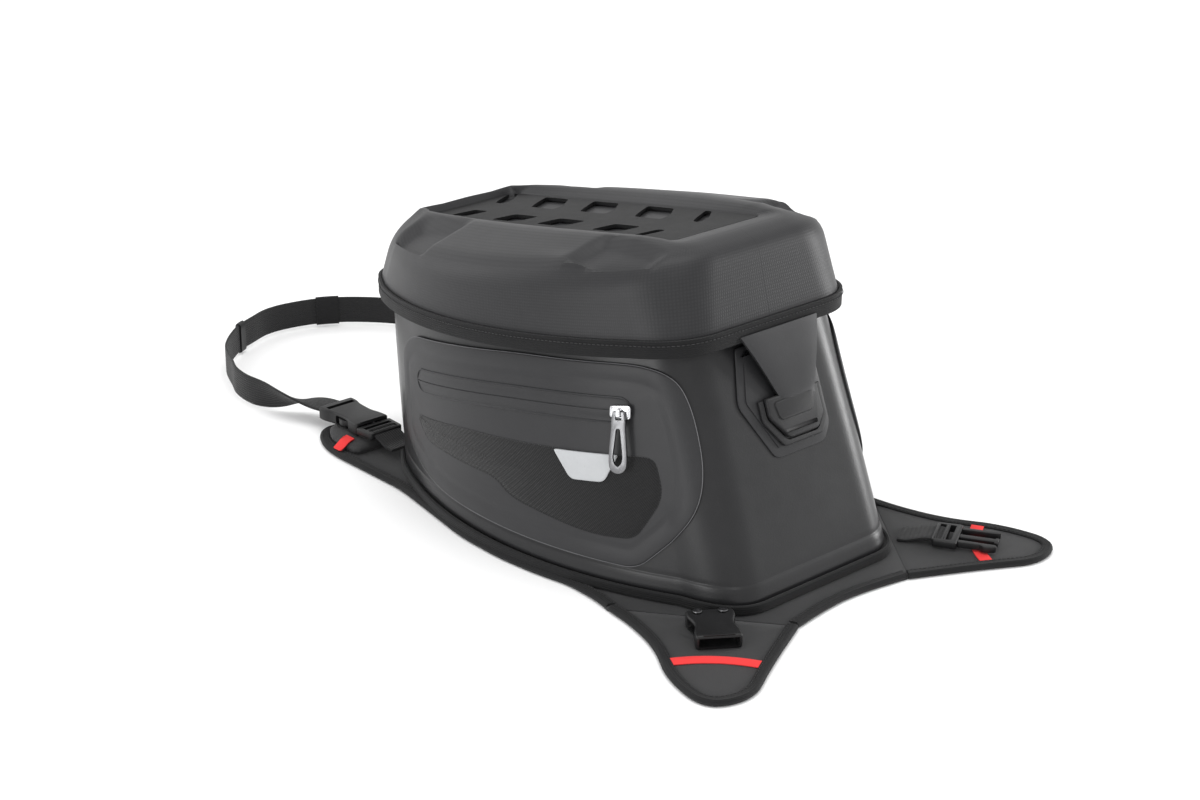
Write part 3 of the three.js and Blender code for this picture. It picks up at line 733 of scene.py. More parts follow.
class Effects:
    """The node groups that several finishes share, each made once."""

    made: dict[str, bpy.types.NodeTree] = {}

    @classmethod
    def get(cls, name: str, build: Callable[[str], bpy.types.NodeTree]) -> bpy.types.NodeTree:
        """The group of that name, made on first use.

        Args:
            name: The group's name.
            build: What makes it.

        Returns:
            The group.
        """
        if name not in cls.made:
            cls.made[name] = build(name)
        return cls.made[name]

    @classmethod
    def weave(cls, kind: Weave) -> bpy.types.NodeTree:
        """The thread pattern: inputs Vector and Pitch in metres, output Height."""
        return cls.get("weave_" + kind.value, lambda name: cls._weave(name, kind))

    @staticmethod
    def _weave(name: str, kind: Weave) -> bpy.types.NodeTree:
        """Builds a thread pattern.

        Args:
            name: The group's name.
            kind: The pattern.

        Returns:
            The group.
        """
        t, source, sink = new_group(name, {"Vector": "NodeSocketVector", "Pitch": "NodeSocketFloat"},
                                    ["Height"])
        xyz = t.add("SeparateXYZ", {0: source.outputs["Vector"]})
        per = t.math("DIVIDE", math.pi, source.outputs["Pitch"])
        x, y = t.math("MULTIPLY", xyz.outputs[0], per), t.math("MULTIPLY", xyz.outputs[1], per)
        if kind is Weave.PLAIN:
            wave = t.math("MULTIPLY", t.math("SINE", x), t.math("SINE", y))
            height = t.math("ABSOLUTE", wave)
        elif kind is Weave.TWILL:
            across = t.math("ABSOLUTE", t.math("SINE", t.math("ADD", x, y)))
            along = t.math("ABSOLUTE", t.math("SINE", t.math("MULTIPLY", t.math("SUBTRACT", x, y), 0.5)))
            height = t.math("MULTIPLY", across, t.math("ADD", t.math("MULTIPLY", along, 0.5), 0.5))
        else:
            rib = t.math("ABSOLUTE", t.math("SINE", y))
            slant = t.math("ABSOLUTE", t.math("SINE", t.math("ADD", t.math("MULTIPLY", x, 0.6), y)))
            height = t.math("MULTIPLY", t.math("POWER", rib, 0.6),
                            t.math("ADD", t.math("MULTIPLY", slant, 0.45), 0.55))
        t.tree.links.new(height, sink.inputs["Height"])
        return t.tree

    @classmethod
    def patches(cls) -> bpy.types.NodeTree:
        """Uneven handling marks: inputs Vector, Scale and Spread, output Value about 0.5."""
        return cls.get("patches", cls._patches)

    @staticmethod
    def _patches(name: str) -> bpy.types.NodeTree:
        """Builds the handling marks.

        Args:
            name: The group's name.

        Returns:
            The group.
        """
        t, source, sink = new_group(name, {"Vector": "NodeSocketVector", "Scale": "NodeSocketFloat",
                                           "Spread": "NodeSocketFloat"}, ["Value"])
        broad = t.add("TexNoise", {"Vector": source.outputs["Vector"], "Scale": source.outputs["Scale"],
                                   "Detail": 3.0, "Roughness": 0.55})
        fine = t.add("TexNoise", {"Vector": source.outputs["Vector"], "Detail": 2.0,
                                  "Scale": t.math("MULTIPLY", source.outputs["Scale"], 9.0)})
        both = t.math("ADD", t.math("MULTIPLY", broad.outputs[0], 0.7),
                      t.math("MULTIPLY", fine.outputs[0], 0.3))
        spread = t.math("MULTIPLY", t.math("SUBTRACT", both, 0.5), source.outputs["Spread"])
        t.tree.links.new(t.math("ADD", spread, 0.5, clamp=True), sink.inputs["Value"])
        return t.tree

    @classmethod
    def grain(cls) -> bpy.types.NodeTree:
        """Moulded grain: inputs Vector and Size in metres, output Height."""
        return cls.get("grain", cls._grain)

    @staticmethod
    def _grain(name: str) -> bpy.types.NodeTree:
        """Builds the moulded grain.

        Args:
            name: The group's name.

        Returns:
            The group.
        """
        t, source, sink = new_group(name, {"Vector": "NodeSocketVector", "Size": "NodeSocketFloat"},
                                    ["Height"])
        scale = t.math("DIVIDE", 1.0, source.outputs["Size"])
        cells = t.add("TexVoronoi", {"Vector": source.outputs["Vector"], "Scale": scale}, feature="SMOOTH_F1")
        noise = t.add("TexNoise",
                      {"Vector": source.outputs["Vector"], "Scale": t.math("MULTIPLY", scale, 2.3),
                       "Detail": 2.0})
        t.tree.links.new(t.math("ADD", cells.outputs[0], noise.outputs[0]), sink.inputs["Height"])
        return t.tree


@dataclass(frozen=True)
class Finish:
    """What every finish has: its colour, how much it varies, and its gloss."""

    name: str
    slot: str
    colour: tuple[float, float, float]
    roughness: float = 0.6
    variation: float = 0.25
    patch_scale: float = 18.0
    specular: float = 0.28

    def surface(self, t: Tree, coord: bpy.types.Node, shader: bpy.types.Node) -> None:
        """Feeds the shader's own pattern; each finish has its own."""

    def material(self) -> bpy.types.Material:
        """The finish as a material, made on first use.

        Returns:
            The material.
        """
        found = bpy.data.materials.get(self.name)
        if found:
            return found
        made = bpy.data.materials.new(self.name)
        made.use_nodes = True
        t = Tree(made.node_tree)
        shader = made.node_tree.nodes["Principled BSDF"]
        coord = t.add("TexCoord")
        patches = t.group(Effects.patches(), {"Vector": coord.outputs["Object"], "Scale": self.patch_scale,
                                              "Spread": 2.0})
        low = [c * (1 - self.variation) for c in self.colour] + [1.0]
        high = [c * (1 + self.variation) for c in self.colour] + [1.0]
        t.tree.links.new(self._mix(t, patches.outputs["Value"], low, high), shader.inputs["Base Color"])
        shader.inputs["Specular IOR Level"].default_value = self.specular
        rough = t.add("MapRange",
                      {0: patches.outputs["Value"], 3: self.roughness * 0.88, 4: self.roughness * 1.12})
        t.tree.links.new(rough.outputs[0], shader.inputs["Roughness"])
        self.surface(t, coord, shader)
        return made

    @staticmethod
    def _mix(t: Tree, factor: Socket, low: Sequence[float], high: Sequence[float]) -> Socket:
        """A colour between two.

        Args:
            t: The node tree.
            factor: The mask between the two.
            low: The colour at 0.
            high: The colour at 1.

        Returns:
            The mixed colour.
        """
        node = t.add("Mix", data_type="RGBA")
        t.tree.links.new(factor, node.inputs[0])
        node.inputs[6].default_value = low
        node.inputs[7].default_value = high
        return node.outputs[2]

    def bump(self, t: Tree, shader: bpy.types.Node, height: Socket, depth: float) -> None:
        """Lets a height shape the surface's normal."""
        node = t.add("Bump", {"Height": height, "Distance": depth, "Strength": 1.0})
        t.tree.links.new(node.outputs[0], shader.inputs["Normal"])


@dataclass(frozen=True)
class Cloth(Finish):
    """Woven cloth, coated or not."""

    weave: Weave = Weave.PLAIN
    pitch: float = 1.2 * MM
    depth: float = 0.12 * MM
    sheen: float = 0.15
    # thread_shade: how much painted shade the weave puts into the base colour between the threads
    thread_shade: float = 0.35

    def surface(self, t: Tree, coord: bpy.types.Node, shader: bpy.types.Node) -> None:
        """Adds the threads, along the piece's own UV map, with painted shade: the base colour is darker
        between the threads and lighter on their tops.

        Args:
            t: The node tree.
            coord: The coordinates node.
            shader: The surface shader.
        """
        weave = t.group(Effects.weave(self.weave), {"Vector": coord.outputs["UV"], "Pitch": self.pitch})
        grain = t.group(Effects.grain(), {"Vector": coord.outputs["Object"], "Size": 0.9 * MM})
        height = t.math("ADD", weave.outputs[0], t.math("MULTIPLY", grain.outputs[0], 0.12))
        self.bump(t, shader, height, self.depth)
        # painted shade: the base colour is scaled down where the weave height is low, between the threads
        old = shader.inputs["Base Color"].links[0].from_socket
        shade = t.math("ADD", t.math("MULTIPLY", weave.outputs[0], self.thread_shade),
                       1 - self.thread_shade * 0.7)
        scaled = t.add("VectorMath", {0: old}, operation="SCALE")
        t.tree.links.new(shade, scaled.inputs["Scale"])
        t.tree.links.new(scaled.outputs[0], shader.inputs["Base Color"])
        shader.inputs["Sheen Weight"].default_value = self.sheen
        shader.inputs["Sheen Roughness"].default_value = 0.4


@dataclass(frozen=True)
class Moulded(Finish):
    """Moulded plastic or coated sheet with a fine grain."""

    grain: float = 0.8 * MM
    depth: float = 0.05 * MM
    coat: float = 0.0
    metallic: float = 0.0

    def surface(self, t: Tree, coord: bpy.types.Node, shader: bpy.types.Node) -> None:
        """Adds the grain on the piece's own coordinates.

        Args:
            t: The node tree.
            coord: The coordinates node.
            shader: The surface shader.
        """
        grain = t.group(Effects.grain(), {"Vector": coord.outputs["Object"], "Size": self.grain})
        self.bump(t, shader, grain.outputs[0], self.depth)
        shader.inputs["Coat Weight"].default_value = self.coat
        shader.inputs["Coat Roughness"].default_value = 0.35
        shader.inputs["Metallic"].default_value = self.metallic


COATED = Moulded("coated_tub_cloth", "coated_fabric", (0.017, 0.017, 0.018), 0.33, 0.14, 9.0, grain=1.1 * MM,
                 depth=0.03 * MM)
WELDED = Moulded("welded_film", "coated_fabric", (0.022, 0.022, 0.0235), 0.44, 0.14, 11.0, grain=0.9 * MM,
                 depth=0.03 * MM)
FILM_EDGE = Moulded("cut_film_edge", "coated_fabric", (0.11, 0.11, 0.115), 0.5, 0.2, 60.0)
LID_CLOTH = Cloth("moulded_lid_cloth", "moulded_fabric", (0.021, 0.021, 0.0225), 0.47, 0.12, 8.0,
                  weave=Weave.PLAIN, pitch=1.5 * MM, depth=0.06 * MM, sheen=0.05, thread_shade=0.25)
TAPE = Cloth("edge_tape", "webbing", (0.0065, 0.0065, 0.007), 0.8, 0.25, 30.0, weave=Weave.RIBBED,
             pitch=1.6 * MM, depth=0.25 * MM, sheen=0.08)
WEBBING = Cloth("strap_webbing", "webbing", (0.009, 0.009, 0.0095), 0.72, 0.25, 30.0, weave=Weave.RIBBED,
                pitch=2.1 * MM, depth=0.4 * MM, sheen=0.12)
BALLISTIC = Cloth("ballistic_nylon", "webbing", (0.007, 0.007, 0.0075), 0.7, 0.25, 20.0, weave=Weave.TWILL,
                  pitch=1.9 * MM, depth=0.3 * MM, sheen=0.2, thread_shade=0.7)
PANEL_RUBBER = Moulded("slotted_panel_sheet", "webbing", (0.0075, 0.0075, 0.008), 0.62, 0.2, 14.0,
                       grain=0.7 * MM, depth=0.06 * MM)
PAD_CLOTH = Cloth("pad_cloth", "padding", (0.024, 0.024, 0.025), 0.72, 0.2, 22.0, weave=Weave.PLAIN,
                  pitch=1.1 * MM, depth=0.12 * MM, sheen=0.2)
BASE_FOAM = Cloth("base_cloth", "padding", (0.008, 0.008, 0.0085), 0.8, 0.2, 22.0, weave=Weave.PLAIN,
                  pitch=1.3 * MM, depth=0.15 * MM, sheen=0.15)
RED = Cloth("red_tape", "red_tape", (0.72, 0.018, 0.016), 0.6, 0.12, 40.0, weave=Weave.PLAIN, pitch=0.9 * MM,
            depth=0.1 * MM, sheen=0.1)
REFLECTOR = Moulded("grey_reflector", "reflective", (0.42, 0.43, 0.44), 0.42, 0.06, 50.0, grain=0.35 * MM,
                    depth=0.02 * MM)
THREAD = Moulded("black_thread", "webbing", (0.03, 0.03, 0.031), 0.55, 0.3, 90.0)
PLASTIC = Moulded("black_buckle_plastic", "black_plastic", (0.010, 0.010, 0.0105), 0.4, 0.2, 35.0,
                  grain=0.5 * MM, depth=0.03 * MM)
FRAME_PLASTIC = Moulded("grey_frame_plastic", "black_plastic", (0.05, 0.05, 0.052), 0.5, 0.2, 25.0)
TAB_RUBBER = Moulded("soft_tab", "black_plastic", (0.014, 0.014, 0.0148), 0.5, 0.15, 30.0, grain=0.6 * MM,
                     depth=0.04 * MM)
NICKEL = Moulded("dark_nickel", "zinc", (0.15, 0.15, 0.155), 0.3, 0.2, 60.0, grain=0.4 * MM, depth=0.012 * MM,
                 metallic=1.0)
BRIGHT = Moulded("bright_zinc", "zinc", (0.72, 0.72, 0.74), 0.24, 0.12, 60.0, grain=0.4 * MM,
                 depth=0.012 * MM, metallic=1.0)


def dress(obj: Piece, finish: Finish, body: str, *nodes: str) -> Piece:
    """Gives a piece its finish, the body it rides on and the CAD nodes it stands for.

    Args:
        obj: The piece.
        finish: Its finish.
        body: The body that it rides on.
        nodes: The CAD nodes that it stands for.

    Returns:
        The same piece.
    """
    obj.data.materials.clear()
    obj.data.materials.append(finish.material())
    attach(obj, body)
    if nodes:
        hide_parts(*nodes)
    LOG.info("%s: %d faces on %s", obj.name, len(obj.data.polygons), body)
    return obj


def dress_node(node: str, finish: Finish) -> None:
    """Gives a CAD node a finish.

    Args:
        node: The CAD node.
        finish: Its finish.
    """
    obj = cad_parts[node]
    obj.data.materials.clear()
    obj.data.materials.append(finish.material())


# ---- studio


@dataclass(frozen=True)
class Studio:
    """The pale floor, the soft lights and the camera."""

    eye: tuple[float, float, float] = (1.17647, -1.11061, 0.75109)
    ahead: tuple[float, float, float] = (-0.683878, 0.622735, -0.380147)
    over: tuple[float, float, float] = (-0.286553, 0.249912, 0.924895)
    lens: float = 69.0

    def camera(self) -> None:
        """Sets up the camera on the eye's place and direction."""
        deselect()
        bpy.ops.object.camera_add(location=self.eye)
        cam = bpy.context.object
        back, up = -Vector(self.ahead), Vector(self.over)
        side = up.cross(back).normalized()
        up = back.cross(side).normalized()
        cam.rotation_euler = Matrix((side, up, back.normalized())).transposed().to_euler()
        cam.data.lens, cam.data.sensor_width = self.lens, 36.0
        cam.data.clip_start, cam.data.clip_end = 0.05, 30.0
        bpy.context.scene.camera = cam

    def light(self, name: str, place: Sequence[float], aim: Sequence[float], size: Point2,
              power: float) -> None:
        """Adds one soft box.

        Args:
            name: The light's name.
            place: Where it hangs, in metres.
            aim: What it points at.
            size: Its width and height.
            power: Its power, in watts.
        """
        deselect()
        bpy.ops.object.light_add(type="AREA", location=place)
        lamp = bpy.context.object
        lamp.name = name
        lamp.data.shape, lamp.data.size, lamp.data.size_y = "RECTANGLE", *size
        lamp.data.energy = power
        lamp.rotation_euler = (Vector(aim) - Vector(place)).to_track_quat("-Z", "Y").to_euler()

    def build(self) -> None:
        """Makes the floor and the lights."""
        deselect()
        bpy.ops.mesh.primitive_plane_add(size=24, location=(0, 0, -0.0002))
        floor = named(bpy.context.object, "studio_floor")
        paint = bpy.data.materials.new("studio_white")
        paint.use_nodes = True
        shader = paint.node_tree.nodes["Principled BSDF"]
        shader.inputs["Base Color"].default_value = (0.93, 0.93, 0.93, 1)
        shader.inputs["Roughness"].default_value = 0.9
        shader.inputs["Specular IOR Level"].default_value = 0.1
        floor.data.materials.append(paint)
        bpy.context.scene.view_settings.view_transform = "Standard"
        world = bpy.data.worlds.new("studio")
        bpy.context.scene.world = world
        world.use_nodes = True
        world.node_tree.nodes["Background"].inputs[0].default_value = (1, 1, 1, 1)
        world.node_tree.nodes["Background"].inputs[1].default_value = 0.92
        self.light("overhead_box", (0.1, -0.1, 1.9), (0, 0, 0.1), (1.6, 1.2), 16)
        self.light("side_box", (0.35, -2.2, 0.42), (0, 0, 0.1), (0.45, 0.9), 13)
        self.light("rear_box", (0.95, 2.0, 0.42), (0.15, 0, 0.1), (0.45, 0.8), 22)
        self.light("camera_box", (1.5, -0.75, 1.35), (0, 0, 0.1), (0.35, 0.35), 2.5)
        self.light("front_box", (-1.8, -0.9, 1.0), (0, 0, 0.12), (0.9, 1.2), 8)


# ---- steering-head strap


@dataclass
class HeadStrap:
    """The webbing loop that passes round the steering head, standing on edge."""

    width: float = 25.0
    thick: float = 2.2
    middle_z: float = 15.5
    buckle_z: float = 16.6
    route: tuple[Point2, ...] = (
        (-278.8, -84.5), (-300, -91), (-327, -105), (-356, -113), (-381, -111), (-401, -103), (-436, -86),
        (-465, -56), (-479, -29), (-487, -8), (-487, 15), (-479, 44), (-462, 70), (-436, 94), (-405, 111),
        (-372, 117), (-340, 111), (-305, 94), (-278.8, 84.5))
    steps: int = 240
    lying: float = 0.02
    turned: float = 0.15

    def __post_init__(self) -> None:
        """Works out the line of the webbing and which way it faces."""
        self.path = resample([p * MM for p in smooth_line([(x, y, self.middle_z) for x, y in self.route])],
                             self.steps, closed=False)
        self.length = sum((b - a).length for a, b in zip(self.path, self.path[1:]))
        for i, p in enumerate(self.path):
            end = 1 - ease((self._share(i) - self.lying) / (self.turned - self.lying))
            p.z += (self.buckle_z - self.middle_z) * MM * end

    def _share(self, i: int) -> float:
        """Share of the loop from the nearer buckle."""
        s = i / (self.steps - 1)
        return min(s, 1 - s)

    def facing(self, i: int) -> Vector:
        """The direction of the webbing's width: flat at the buckles, upright round the loop.

        Args:
            i: The number of the point on the route.

        Returns:
            The direction.
        """
        ahead = (self.path[min(i + 1, self.steps - 1)] - self.path[max(i - 1, 0)]).normalized()
        across = Vector((0, 0, 1)).cross(ahead).normalized()
        turn = math.pi / 2 * ease((self._share(i) - self.lying) / (self.turned - self.lying))
        if i > self.steps / 2:
            turn = math.pi - turn
        return across * math.cos(turn) + Vector((0, 0, 1)) * math.sin(turn)

    def loop_piece(self, name: str, start: float, end: float, grow: float) -> Piece:
        """A sleeve round the webbing between two shares of its length.

        Args:
            name: The piece's name.
            start: Where it starts, as a share.
            end: Where it ends.
            grow: How far it stands off the webbing, in millimetres.

        Returns:
            The piece.
        """
        ids = range(round(start * self.steps), round(end * self.steps) + 1)
        section = strap_section((self.width + 2 * grow) * MM, (self.thick + 2 * grow) * MM)
        return band(name, [self.path[i] for i in ids], [self.facing(i) for i in ids], section)

    def build(self) -> None:
        """Makes the webbing, its sleeve and its keeper."""
        section = strap_section(self.width * MM, self.thick * MM, 8)
        webbing = band("steering_strap_webbing", self.path, [self.facing(i) for i in range(self.steps)],
                       section)
        dress(webbing, WEBBING, "strap_loop", "steering_strap")
        sleeve = self.loop_piece("strap_sewn_sleeve", 0.565, 0.605, 1.2)
        dress(sleeve, TAPE, "strap_loop", "strap_sleeve")
        keeper = self.loop_piece("strap_slide_keeper", 0.387, 0.405, 1.6)
        dress(keeper, PLASTIC, "strap_loop", "strap_keeper")
        tuple(self.path[0])
        [tuple(p) for p in self.path]


# ---- tub


@dataclass
class TubSkin:
    """Where the tub's wall lies: its two outlines, its floor and its mouth, in millimetres."""

    floor: float = 9.0
    nudge_u: float = 0.002
    nudge_h: float = 0.01

    def bare(self, u: float, h: float) -> Vector:
        """A point on the wall, in millimetres, at share u round it and share h up it.

        Args:
            u: The share of the way round.
            h: The share of the way up.

        Returns:
            The point.
        """
        bx, by = TUB_BASE.point(u)
        mx, my = TUB_MOUTH.point(u)
        return Vector((bx + (mx - bx) * h, by + (my - by) * h, self.floor + (rim_z(mx) - self.floor) * h))

    def normal(self, u: float, h: float) -> Vector:
        """The wall's outward direction.

        Args:
            u: The share of the way round.
            h: The share of the way up.

        Returns:
            The direction.
        """
        along = self.bare(u + self.nudge_u, h) - self.bare(u - self.nudge_u, h)
        up = self.bare(u, h + self.nudge_h) - self.bare(u, h - self.nudge_h)
        return along.cross(up).normalized()

    def at(self, u: float, h: float, out: float = 0.0) -> Vector:
        """A point moved out from the wall, in metres."""
        return (self.bare(u, h) + self.normal(u, h) * out) * MM

    def side(self, x: float, z: float, out: float = 0.0) -> Vector:
        """A point on the left side, in metres, found from where it is in side view.

        Args:
            x: Place along the bag, in millimetres.
            z: Height, in millimetres.
            out: Millimetres out from the wall.

        Returns:
            The point, in metres.
        """
        low, high = 0.0, 0.5
        for _ in range(26):
            u = (low + high) / 2
            bx, _by = TUB_BASE.point(u)
            mx, _my = TUB_MOUTH.point(u)
            h = (z - self.floor) / (rim_z(mx) - self.floor)
            if bx + (mx - bx) * h > x:
                low = u
            else:
                high = u
        p = self.at(u, h, out)
        return Vector((p.x, -p.y, p.z))


SKIN = TubSkin()


@dataclass
class Tub:
    """The welded tub with its inner wall, its floor and the frame in its mouth."""

    wall: float = 2.6
    around: int = 260
    crease: float = 13.0
    level: float = 24.0
    heights: tuple[float, ...] = (0, 0.6, 1.6, 3, 5, 8, 11, 12.4, 13, 13.6, 15, 18, 24, 32, 42, 54, 66, 78,
                                  90, 102, 114, 124, 134, 144, 152, 158, 162)

    def swell(self, u: float, rise: float, h: float) -> float:
        """How far the cloth stands off its straight line, in millimetres.

        Args:
            u: The share of the way round.
            rise: The height over the floor, in millimetres.
            h: The share of the way up.

        Returns:
            The swelling.
        """
        edge = -1.0 * (1 - ease(rise / 3.0))
        seam = 0.5 * (1 - ease((rise - 12.0) / 1.6)) - 0.35 * math.exp(-((rise - self.crease) / 0.9) ** 2)
        belly = 1.1 * math.sin(math.pi * min(1.0, h)) * (0.6 + 0.4 * math.cos(2 * TAU * u))
        ripple = 0.35 * math.sin(7 * TAU * u + 3 * h) * math.sin(math.pi * h) * math.exp(-h * 1.5)
        return edge + seam + belly + ripple - 0.7

    def build(self) -> None:
        """Makes the tub and dresses what lies inside it."""
        count = len(self.heights)

        def place(u: float, v: float) -> Vector:
            """A point on the tub's wall.

            Args:
                u: The share of the way round.
                v: The share of the way up.

            Returns:
                The point, in metres.
            """
            k = round(v * count)
            if k == 0:
                inner = SKIN.bare(u, 0.0)
                return Vector((inner.x * 0.93, inner.y * 0.93, inner.z)) * MM
            rise, top = self.heights[k - 1], self.heights[-1]
            span = rim_z(TUB_MOUTH.point(u)[0]) - SKIN.floor
            if rise > self.level:
                rise = self.level + (rise - self.level) / (top - self.level) * (span - 0.6 - self.level)
            h = rise / span
            return SKIN.at(u, h, self.swell(u, rise, h))

        wall = drape("tub_wall", self.around, count, place, closed=True)
        in_edit(wall, lambda: bpy.ops.mesh.select_all(action="DESELECT"))
        thicken(wall, self.wall * MM)
        dress(wall, COATED, "bag", "tub_shell")
        dress_node("floor_board", FRAME_PLASTIC)
        dress_node("mouth_frame", FRAME_PLASTIC)
        dress_node("lid_hinge_strip", WELDED)
        self.floor_sheet()

    def floor_sheet(self) -> None:
        """The tub's floor, welded in at the foot of the wall."""
        outline = [TUB_BASE.point(k / 160, -6.0) for k in range(160)]
        sheet = plate("tub_floor", outline, SKIN.floor + 0.1, SKIN.floor + 2.8, 0.0008)
        dress(sheet, COATED, "bag")


# ---- side pockets


SHARES = (0.0, 0.06, 0.13, 0.2, 0.28, 0.36, 0.44, 0.53, 0.62, 0.71, 0.8, 0.9, 0.995)


@dataclass
class SidePocket:
    """One side's zipped pocket: a welded film, a cloth inset, a reflector, the zip and its puller."""

    film: tuple = ((-143, 60, 20), (-145, 113, 8), (-126, 133, 16), (-58, 147, 20), (6, 159, 20),
                   (98, 168, 20), (120, 163, 14), (133, 142, 20), (149, 100, 20), (152, 74, 16),
                   (143, 54, 16), (118, 24, 10), (-90, 25, 40), (-138, 42, 20))
    inset: tuple = ((-113, 73, 4), (-39, 88, 20), (45, 98, 20), (118, 105, 8), (128, 78, 12), (114, 45, 8),
                    (83, 42, 20), (9, 51, 14), (-6, 61, 14), (-98, 58, 14))
    reflector: tuple = ((46, 97.5, 2), (94, 103, 2), (87, 82, 4), (62, 79, 4))
    zip_line: tuple = ((-112, 102), (-41, 117), (18, 127), (98, 135.5))
    zip_half: float = 9.6

    def patch(self, name: str, corners: Sequence[tuple[float, float, float]], centre: Point2,
              rings: Sequence[tuple[float, float, float]], around: int = 200) -> Piece:
        """A skin cut to an outline in side view and laid on the tub's side.

        Args:
            name: The piece's name.
            corners: (x, z, reach) of each corner.
            centre: A point inside that sees the whole outline.
            rings: (inset, share to the centre, out) of each ring from the edge inwards, in millimetres.
            around: Points on each ring.

        Returns:
            The mesh object, on the left side.
        """
        line = [tuple(p) for p in resample(rounded(corners), around)]
        insets = {r[0]: grown(line, -r[0]) for r in rings}

        def place(u: float, v: float) -> Vector:
            """A point on the patch."""
            inset, share, out = rings[round(v * (len(rings) - 1))]
            x, z = insets[inset][round(u * around) % around]
            return SKIN.side(x + (centre[0] - x) * share, z + (centre[1] - z) * share, out)

        obj = drape(name, around, len(rings) - 1, place, closed=True)
        self.project_uv(obj)
        in_edit(obj, lambda: bpy.ops.mesh.normals_make_consistent(inside=False))
        return self.outward(obj)

    @staticmethod
    def outward(obj: Piece) -> Piece:
        """Turns an open skin on the left side so that it faces away from the bag.

        Args:
            obj: The skin.

        Returns:
            The same skin.
        """
        if sum(p.normal.y * p.area for p in obj.data.polygons) > 0:
            in_edit(obj, lambda: bpy.ops.mesh.flip_normals())
        return smooth(obj, 40)

    @staticmethod
    def project_uv(obj: Piece) -> None:
        """Lays the UV map out in metres in side view.

        Args:
            obj: The piece.
        """
        uv = obj.data.uv_layers.active.data
        for loop in obj.data.loops:
            co = obj.data.vertices[loop.vertex_index].co
            uv[loop.index].uv = (co.x, co.z)

    def zip_at(self, s: float) -> tuple[Vector, Vector]:
        """The zip's line in side view at share s, and the direction across it.

        Args:
            s: The share of the way along the zip.

        Returns:
            The point and the direction.
        """
        i = min(int(s * (len(self._zip) - 1)), len(self._zip) - 2)
        p = self._zip[i].lerp(self._zip[i + 1], s * (len(self._zip) - 1) - i)
        d = (self._zip[i + 1] - self._zip[i]).normalized()
        return p, Vector((-d.y, d.x))

    def zip_cover(self) -> Piece:
        """The sunk stadium round the zip, with the closed seam along its middle.

        Returns:
            The cover.
        """
        self._zip = resample(smooth_line(self.zip_line), 60, closed=False)
        rows = ((-1.0, 0.4), (-1.0, 2.3), (-0.97, 2.9), (-0.9, 3.0), (-0.84, 2.35), (-0.75, 2.2), (-0.5, 2.5),
                (-0.14, 2.9), (-0.05, 2.8), (-0.02, 1.7), (0.02, 1.7), (0.05, 2.8), (0.14, 2.9), (0.5, 2.5),
                (0.75, 2.2), (0.84, 2.35), (0.9, 3.0), (0.97, 2.9), (1.0, 2.3), (1.0, 0.4))
        length = sum((b - a).length for a, b in zip(self._zip, self._zip[1:]))
        cap = self.zip_half / length
        steps = 120

        def place(u: float, v: float) -> Vector:
            """A point on the cover.

            Args:
                u: The share of the way along.
                v: The share of the way across.

            Returns:
                The point, in metres.
            """
            share, out = rows[round(v * (len(rows) - 1))]
            spaced = 0.5 - 0.5 * math.cos(math.pi * u)
            s = u * 0.6 + spaced * 0.4
            near = min(1.0, min(s, 1 - s) / cap)
            half = self.zip_half * math.sqrt(max(1e-4, 1 - (1 - near) ** 2))
            p, across = self.zip_at(s)
            q = p + across * share * half
            return SKIN.side(q.x, q.y, out)

        obj = drape("zip_cover_left", steps, len(rows) - 1, place)
        self.project_uv(obj)
        return self.outward(obj)

    def build(self) -> None:
        """Makes the left pocket and its mirror image."""
        film = self.patch("pocket_film_left", self.film, (0, 92), (
            (0.0, 0, 0.1), (0.0, 0, 1.5), (0.5, 0, 2.0), (1.4, 0, 2.2), (9.0, 0, 2.2), (11.0, 0, 1.8),
                                                                   (13.0, 0, 1.75),
            (15.5, 0, 2.1), *((17.0, share, 2.2) for share in SHARES)))
        edge = self.edge_line()
        cloth = self.patch("pocket_cloth_left", self.inset, (20, 75), (
            (0.0, 0, 1.8), (0.0, 0, 2.7), (0.8, 0, 2.5), (2.0, 0, 2.7),
            *((4.0, share, 3.0 + 0.9 * share) for share in SHARES)))
        patch = self.patch("pocket_reflector_left", self.reflector, (72, 91), (
            (0.0, 0, 2.6), (0.0, 0, 4.2), (0.4, 0, 4.5), (1.5, 0, 4.55), (1.5, 0.25, 4.7), (1.5, 0.5, 4.8),
            (1.5, 0.75, 4.85), (1.5, 0.99, 4.9)), 80)
        cover = self.zip_cover()
        pairs = ((film, WELDED, "pocket_panel_"), (edge, FILM_EDGE, None),
                 (cloth, BALLISTIC, "pocket_fabric_"),
                 (patch, REFLECTOR, "pocket_reflector_"), (cover, WELDED, "zip_chain_"))
        for obj, finish, node in pairs:
            twin = moved(copied(obj, obj.name.replace("left", "right")), MIRROR)
            for piece, side in ((obj, "left"), (twin, "right")):
                nodes = [] if node is None else [node + side]
                dress(piece, finish, "bag", *nodes)
        SliderAndPull().build()

    def edge_line(self) -> Piece:
        """The pale cut edge of the film.

        Returns:
            The edge.
        """
        line = resample(rounded(self.film), 260)
        path = [SKIN.side(p.x, p.y, 1.6) for p in line]
        section = [(0.34 * MM * math.cos(TAU * k / 6), 0.34 * MM * math.sin(TAU * k / 6)) for k in range(6)]
        return band("pocket_film_edge_left", path, [Vector((0, -1, 0))] * len(path), section, closed=True)


